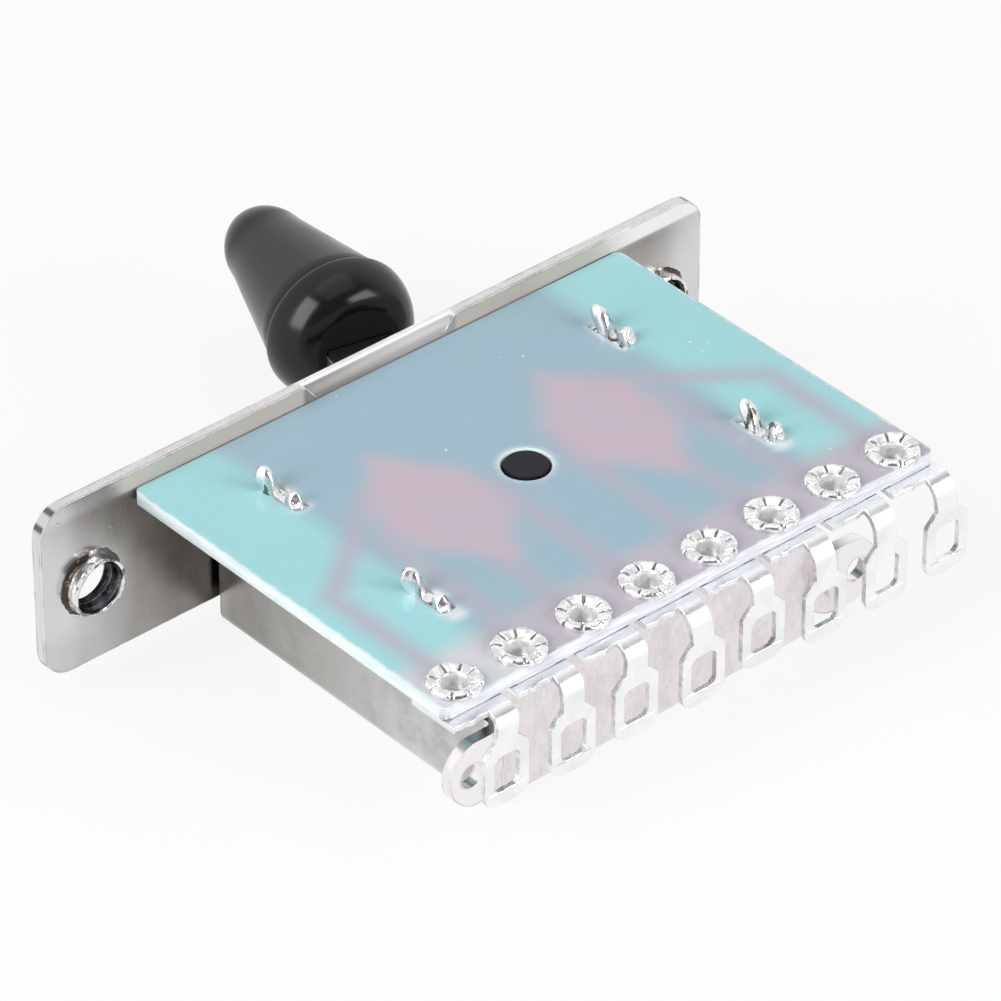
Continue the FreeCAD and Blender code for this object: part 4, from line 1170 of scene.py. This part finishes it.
def knob_piece():
    """Push-on knob: turned barrel and bulb with a slot for the lever."""
    shape = bmesh.new()
    axis = ALONG_LEVER
    base = PIVOT + axis * KNOB_BASE
    rings = lathe(shape, knob_profile(), 96, PIVOT, axis)
    tip = shape.verts.new(PIVOT + axis * KNOB_TIP)
    for step, vert in enumerate(rings[-1]):
        shape.faces.new((vert, rings[-1][(step + 1) % len(rings[-1])], tip))
    mouth, floor = [], []
    for vert in rings[0]:
        wide, thick = (vert.co - base).dot(ACROSS_LEVER), (vert.co - base).dot(UP)
        reach = min(KNOB_SLOT_HALF_WIDE / max(abs(wide), 1e-6), KNOB_SLOT_HALF_THICK / max(abs(thick), 1e-6))
        corner = base + ACROSS_LEVER * wide * reach + UP * thick * reach
        mouth.append(shape.verts.new(corner))
        floor.append(shape.verts.new(corner + axis * KNOB_SLOT_DEPTH))
    join_rings(shape, [floor, mouth, rings[0]])
    shape.faces.new(floor)
    for face in shape.faces:
        out = face.calc_center_median() - PIVOT
        reach = out.dot(axis)
        in_socket = (out - axis * reach).length < 2.6 and reach < KNOB_BASE + KNOB_SLOT_DEPTH + 0.1
        face.material_index = 1 if in_socket else 0
    black = moulding("glossy_black_knob", (0.004, 0.004, 0.005), (0.006, 0.006, 0.007), 0.19, 2600.0, 0.006,
                     0.36)
    matt = moulding("matt_black_socket", (0.006, 0.006, 0.007), (0.010, 0.010, 0.011), 0.7, 2600.0, 0.01,
                    0.2)
    piece(finished_mesh(shape, "push_on_knob", 40.0), "lever_arm", "knob_plastic", [black, matt], "knob")


def lever_piece():
    """Flat steel lever with softened edges."""
    shape = cad_shape("lever")
    join_flat_faces(shape)
    steel = drawn_metal("drawn_lever_steel", (0.48, 0.47, 0.46), (0.55, 0.54, 0.53), 0.24, (0.05, 0.05, 1.0))
    lever = piece(finished_mesh(shape, "lever_blade", 30.0), "lever_arm", "lever_steel", [steel], "lever")
    rounded_edges(lever, 0.1)


def rotor_piece():
    """Moulded rotor, whose black spindle shows in the board."""
    shape = cad_shape("rotor")
    join_flat_faces(shape)
    for vert in shape.verts:
        off_axis = vert.co.xy - PIVOT.xy
        if vert.co.z > BOARD_LOW.z + 0.3 and off_axis.length < 1.5:
            vert.co.xy = PIVOT.xy + off_axis * SPINDLE_SLIMMER
    black = moulding("black_moulding", (0.010, 0.009, 0.016), (0.020, 0.018, 0.030), 0.34, 1500.0, 0.03,
                     0.14)
    mesh = finished_mesh(shape, "moulded_rotor", 30.0)
    rotor = piece(mesh, "lever_arm", "black_moulding", [black], "rotor")
    rounded_edges(rotor, 0.09, 3)


def inner_finishes():
    """Finishes of the CAD nodes that stay as they are, inside the case and under the board."""
    spring = drawn_metal("spring_wire", (0.35, 0.35, 0.35), (0.55, 0.55, 0.55), 0.25)
    ball = drawn_metal("polished_ball", (0.7, 0.7, 0.7), (0.8, 0.8, 0.8), 0.08)
    bronze = drawn_metal("wiper_bronze", (0.6, 0.42, 0.22), (0.75, 0.55, 0.32), 0.28)
    fibre = moulding("washer_fibre", (0.16, 0.06, 0.04), (0.24, 0.1, 0.07), 0.75)
    white = moulding("white_moulding", (0.66, 0.65, 0.6), (0.74, 0.73, 0.69), 0.42)
    foil = copper_foil()
    chosen = {"lever_pin": spring, "detent_spring": spring, "detent_ball": ball, "wiper_left": bronze,
              "wiper_right": bronze, "wiper_rivets": bronze, "thrust_washer": fibre, "detent_track": white}
    chosen.update({f"trace_{index + 1}": foil for index in range(TERMINALS)})
    for name, finish in chosen.items():
        materials = frame["nodes"][name].data.materials
        materials.clear()
        materials.append(finish)


# Studio


def toward(azimuth, elevation):
    """Direction from the switch to a place in the studio."""
    turn, rise = math.radians(azimuth), math.radians(elevation)
    return Vector((math.sin(turn) * math.cos(rise), -math.cos(turn) * math.cos(rise), math.sin(rise)))


def shown_ray(nodes):
    """1 for rays that come from the eye, straight or by way of metal or glass."""
    path = nodes.add("ShaderNodeLightPath").outputs
    return nodes.most(path["Is Camera Ray"], path["Is Glossy Ray"], path["Is Transmission Ray"])


def mixed_surface(nodes, output, share, first, second):
    """Feeds a world or material with two shaders in a share."""
    mix = nodes.new("ShaderNodeMixShader", {0: share, 1: first, 2: second})
    nodes.add(output, {"Surface": mix})


def surroundings():
    """White surroundings for the eye, soft light on it, and an unlit side of the studio for gloss."""
    world = bpy.data.worlds.new("white_studio")
    bpy.context.scene.world = world
    world.use_nodes = True
    nodes = Nodes(world.node_tree)
    nodes.tree.nodes.clear()
    ways = {0: nodes.new("ShaderNodeTexCoord", output="Generated"), 1: toward(-12, 40)}
    facing = nodes.new("ShaderNodeVectorMath", ways, "Value", operation="DOT_PRODUCT")
    glossy = nodes.new("ShaderNodeLightPath", output="Is Glossy Ray")
    unlit = nodes.times(nodes.ramp(facing, 0.3, 0.85, 0.0, UNLIT_STUDIO), glossy)
    seen = nodes.new("ShaderNodeBackground", {"Color": (1, 1, 1), "Strength": nodes.minus(1.0, unlit)})
    lit = nodes.new("ShaderNodeBackground", {"Color": (0.96, 0.98, 1.0), "Strength": 0.24})
    mixed_surface(nodes, "ShaderNodeOutputWorld", shown_ray(nodes), lit, seen)


def aim(thing, azimuth, elevation, distance):
    """Puts a lamp or camera round the switch, facing it."""
    back = toward(azimuth, elevation)
    thing.location = (CAMERA_TARGET + back * distance) * MM
    thing.rotation_mode = "QUATERNION"
    thing.rotation_quaternion = back.to_track_quat("Z", "Y")
    bpy.context.collection.objects.link(thing)


def softbox(name, azimuth, elevation, distance, width, height, brightness):
    """Rectangular lamp aimed at the switch. A brightness of 1 is as bright as white paper."""
    data = bpy.data.lights.new(name, "AREA")
    data.shape = "RECTANGLE"
    data.size = width * MM
    data.size_y = height * MM
    data.energy = brightness * math.pi * data.size * data.size_y
    aim(bpy.data.objects.new(name, data), azimuth, elevation, distance)


def pale_floor():
    """Floor that reads as white and keeps a soft shadow."""
    reach = 4000
    level = CASE_FLOOR - 0.02
    shape = bmesh.new()
    shape.faces.new([shape.verts.new((x * reach, y * reach, level))
                     for x, y in ((-1, -1), (1, -1), (1, 1), (-1, 1))])
    mesh = finished_mesh(shape, "pale_floor")
    ground = bpy.data.objects.new("pale_floor", mesh)
    bpy.context.collection.objects.link(ground)
    material = bpy.data.materials.new("floor_white")
    material.use_nodes = True
    nodes = Nodes(material.node_tree)
    nodes.tree.nodes.clear()
    paint = nodes.new("ShaderNodeBsdfDiffuse", {"Color": (0.88, 0.88, 0.88)})
    glow = nodes.new("ShaderNodeEmission")
    mixed_surface(nodes, "ShaderNodeOutputMaterial", nodes.times(shown_ray(nodes), 0.85), paint, glow)
    mesh.materials.append(material)


def camera():
    """Camera at the photograph's viewing angle."""
    data = bpy.data.cameras.new("camera")
    data.lens = CAMERA_LENS
    data.sensor_width = SENSOR
    data.clip_start = 0.01
    data.clip_end = 10
    eye = bpy.data.objects.new("camera", data)
    aim(eye, CAMERA_AZIMUTH, CAMERA_ELEVATION, CAMERA_DISTANCE)
    bpy.context.scene.camera = eye


torn_metal = sheared_metal()
thread_finish = thread_painted_shade()
root_finish = drawn_root()
nickel_finish = case_nickel()
case_piece(nickel_finish)
for side, label in ((-1, "left"), (1, "right")):
    hole = Vector((side * HOLE_X, 0, 0))
    inward = Vector((0, -1, 0))
    seed = 11 + 7 * side
    thread_in_hole(label, hole, inward, thread_finish)
    torn_collar(label, hole, inward, seed, torn_metal)
    collar_root(label, hole, inward, seed, root_finish, nickel_finish)
    for tab_y in TAB_PLACES:
        tab_ends(side, tab_y, torn_metal)
board_piece()
eyelet_tin = crimped_tin()
terminal_finishes = [terminal_tin(), cut_sides()]
for number in range(TERMINALS):
    eyelet_piece(number, eyelet_tin)
    terminal_piece(number, terminal_finishes)
knob_piece()
lever_piece()
rotor_piece()
inner_finishes()

surroundings()
pale_floor()
softbox("left_softbox", -94, 34, 500, 300, 400, 5.0)
softbox("front_softbox", 23, 22, 500, 290, 340, 5.0)
softbox("top_softbox", 0, 84, 700, 600, 600, 0.75)
camera()
bpy.context.scene.view_settings.view_transform = "Standard"
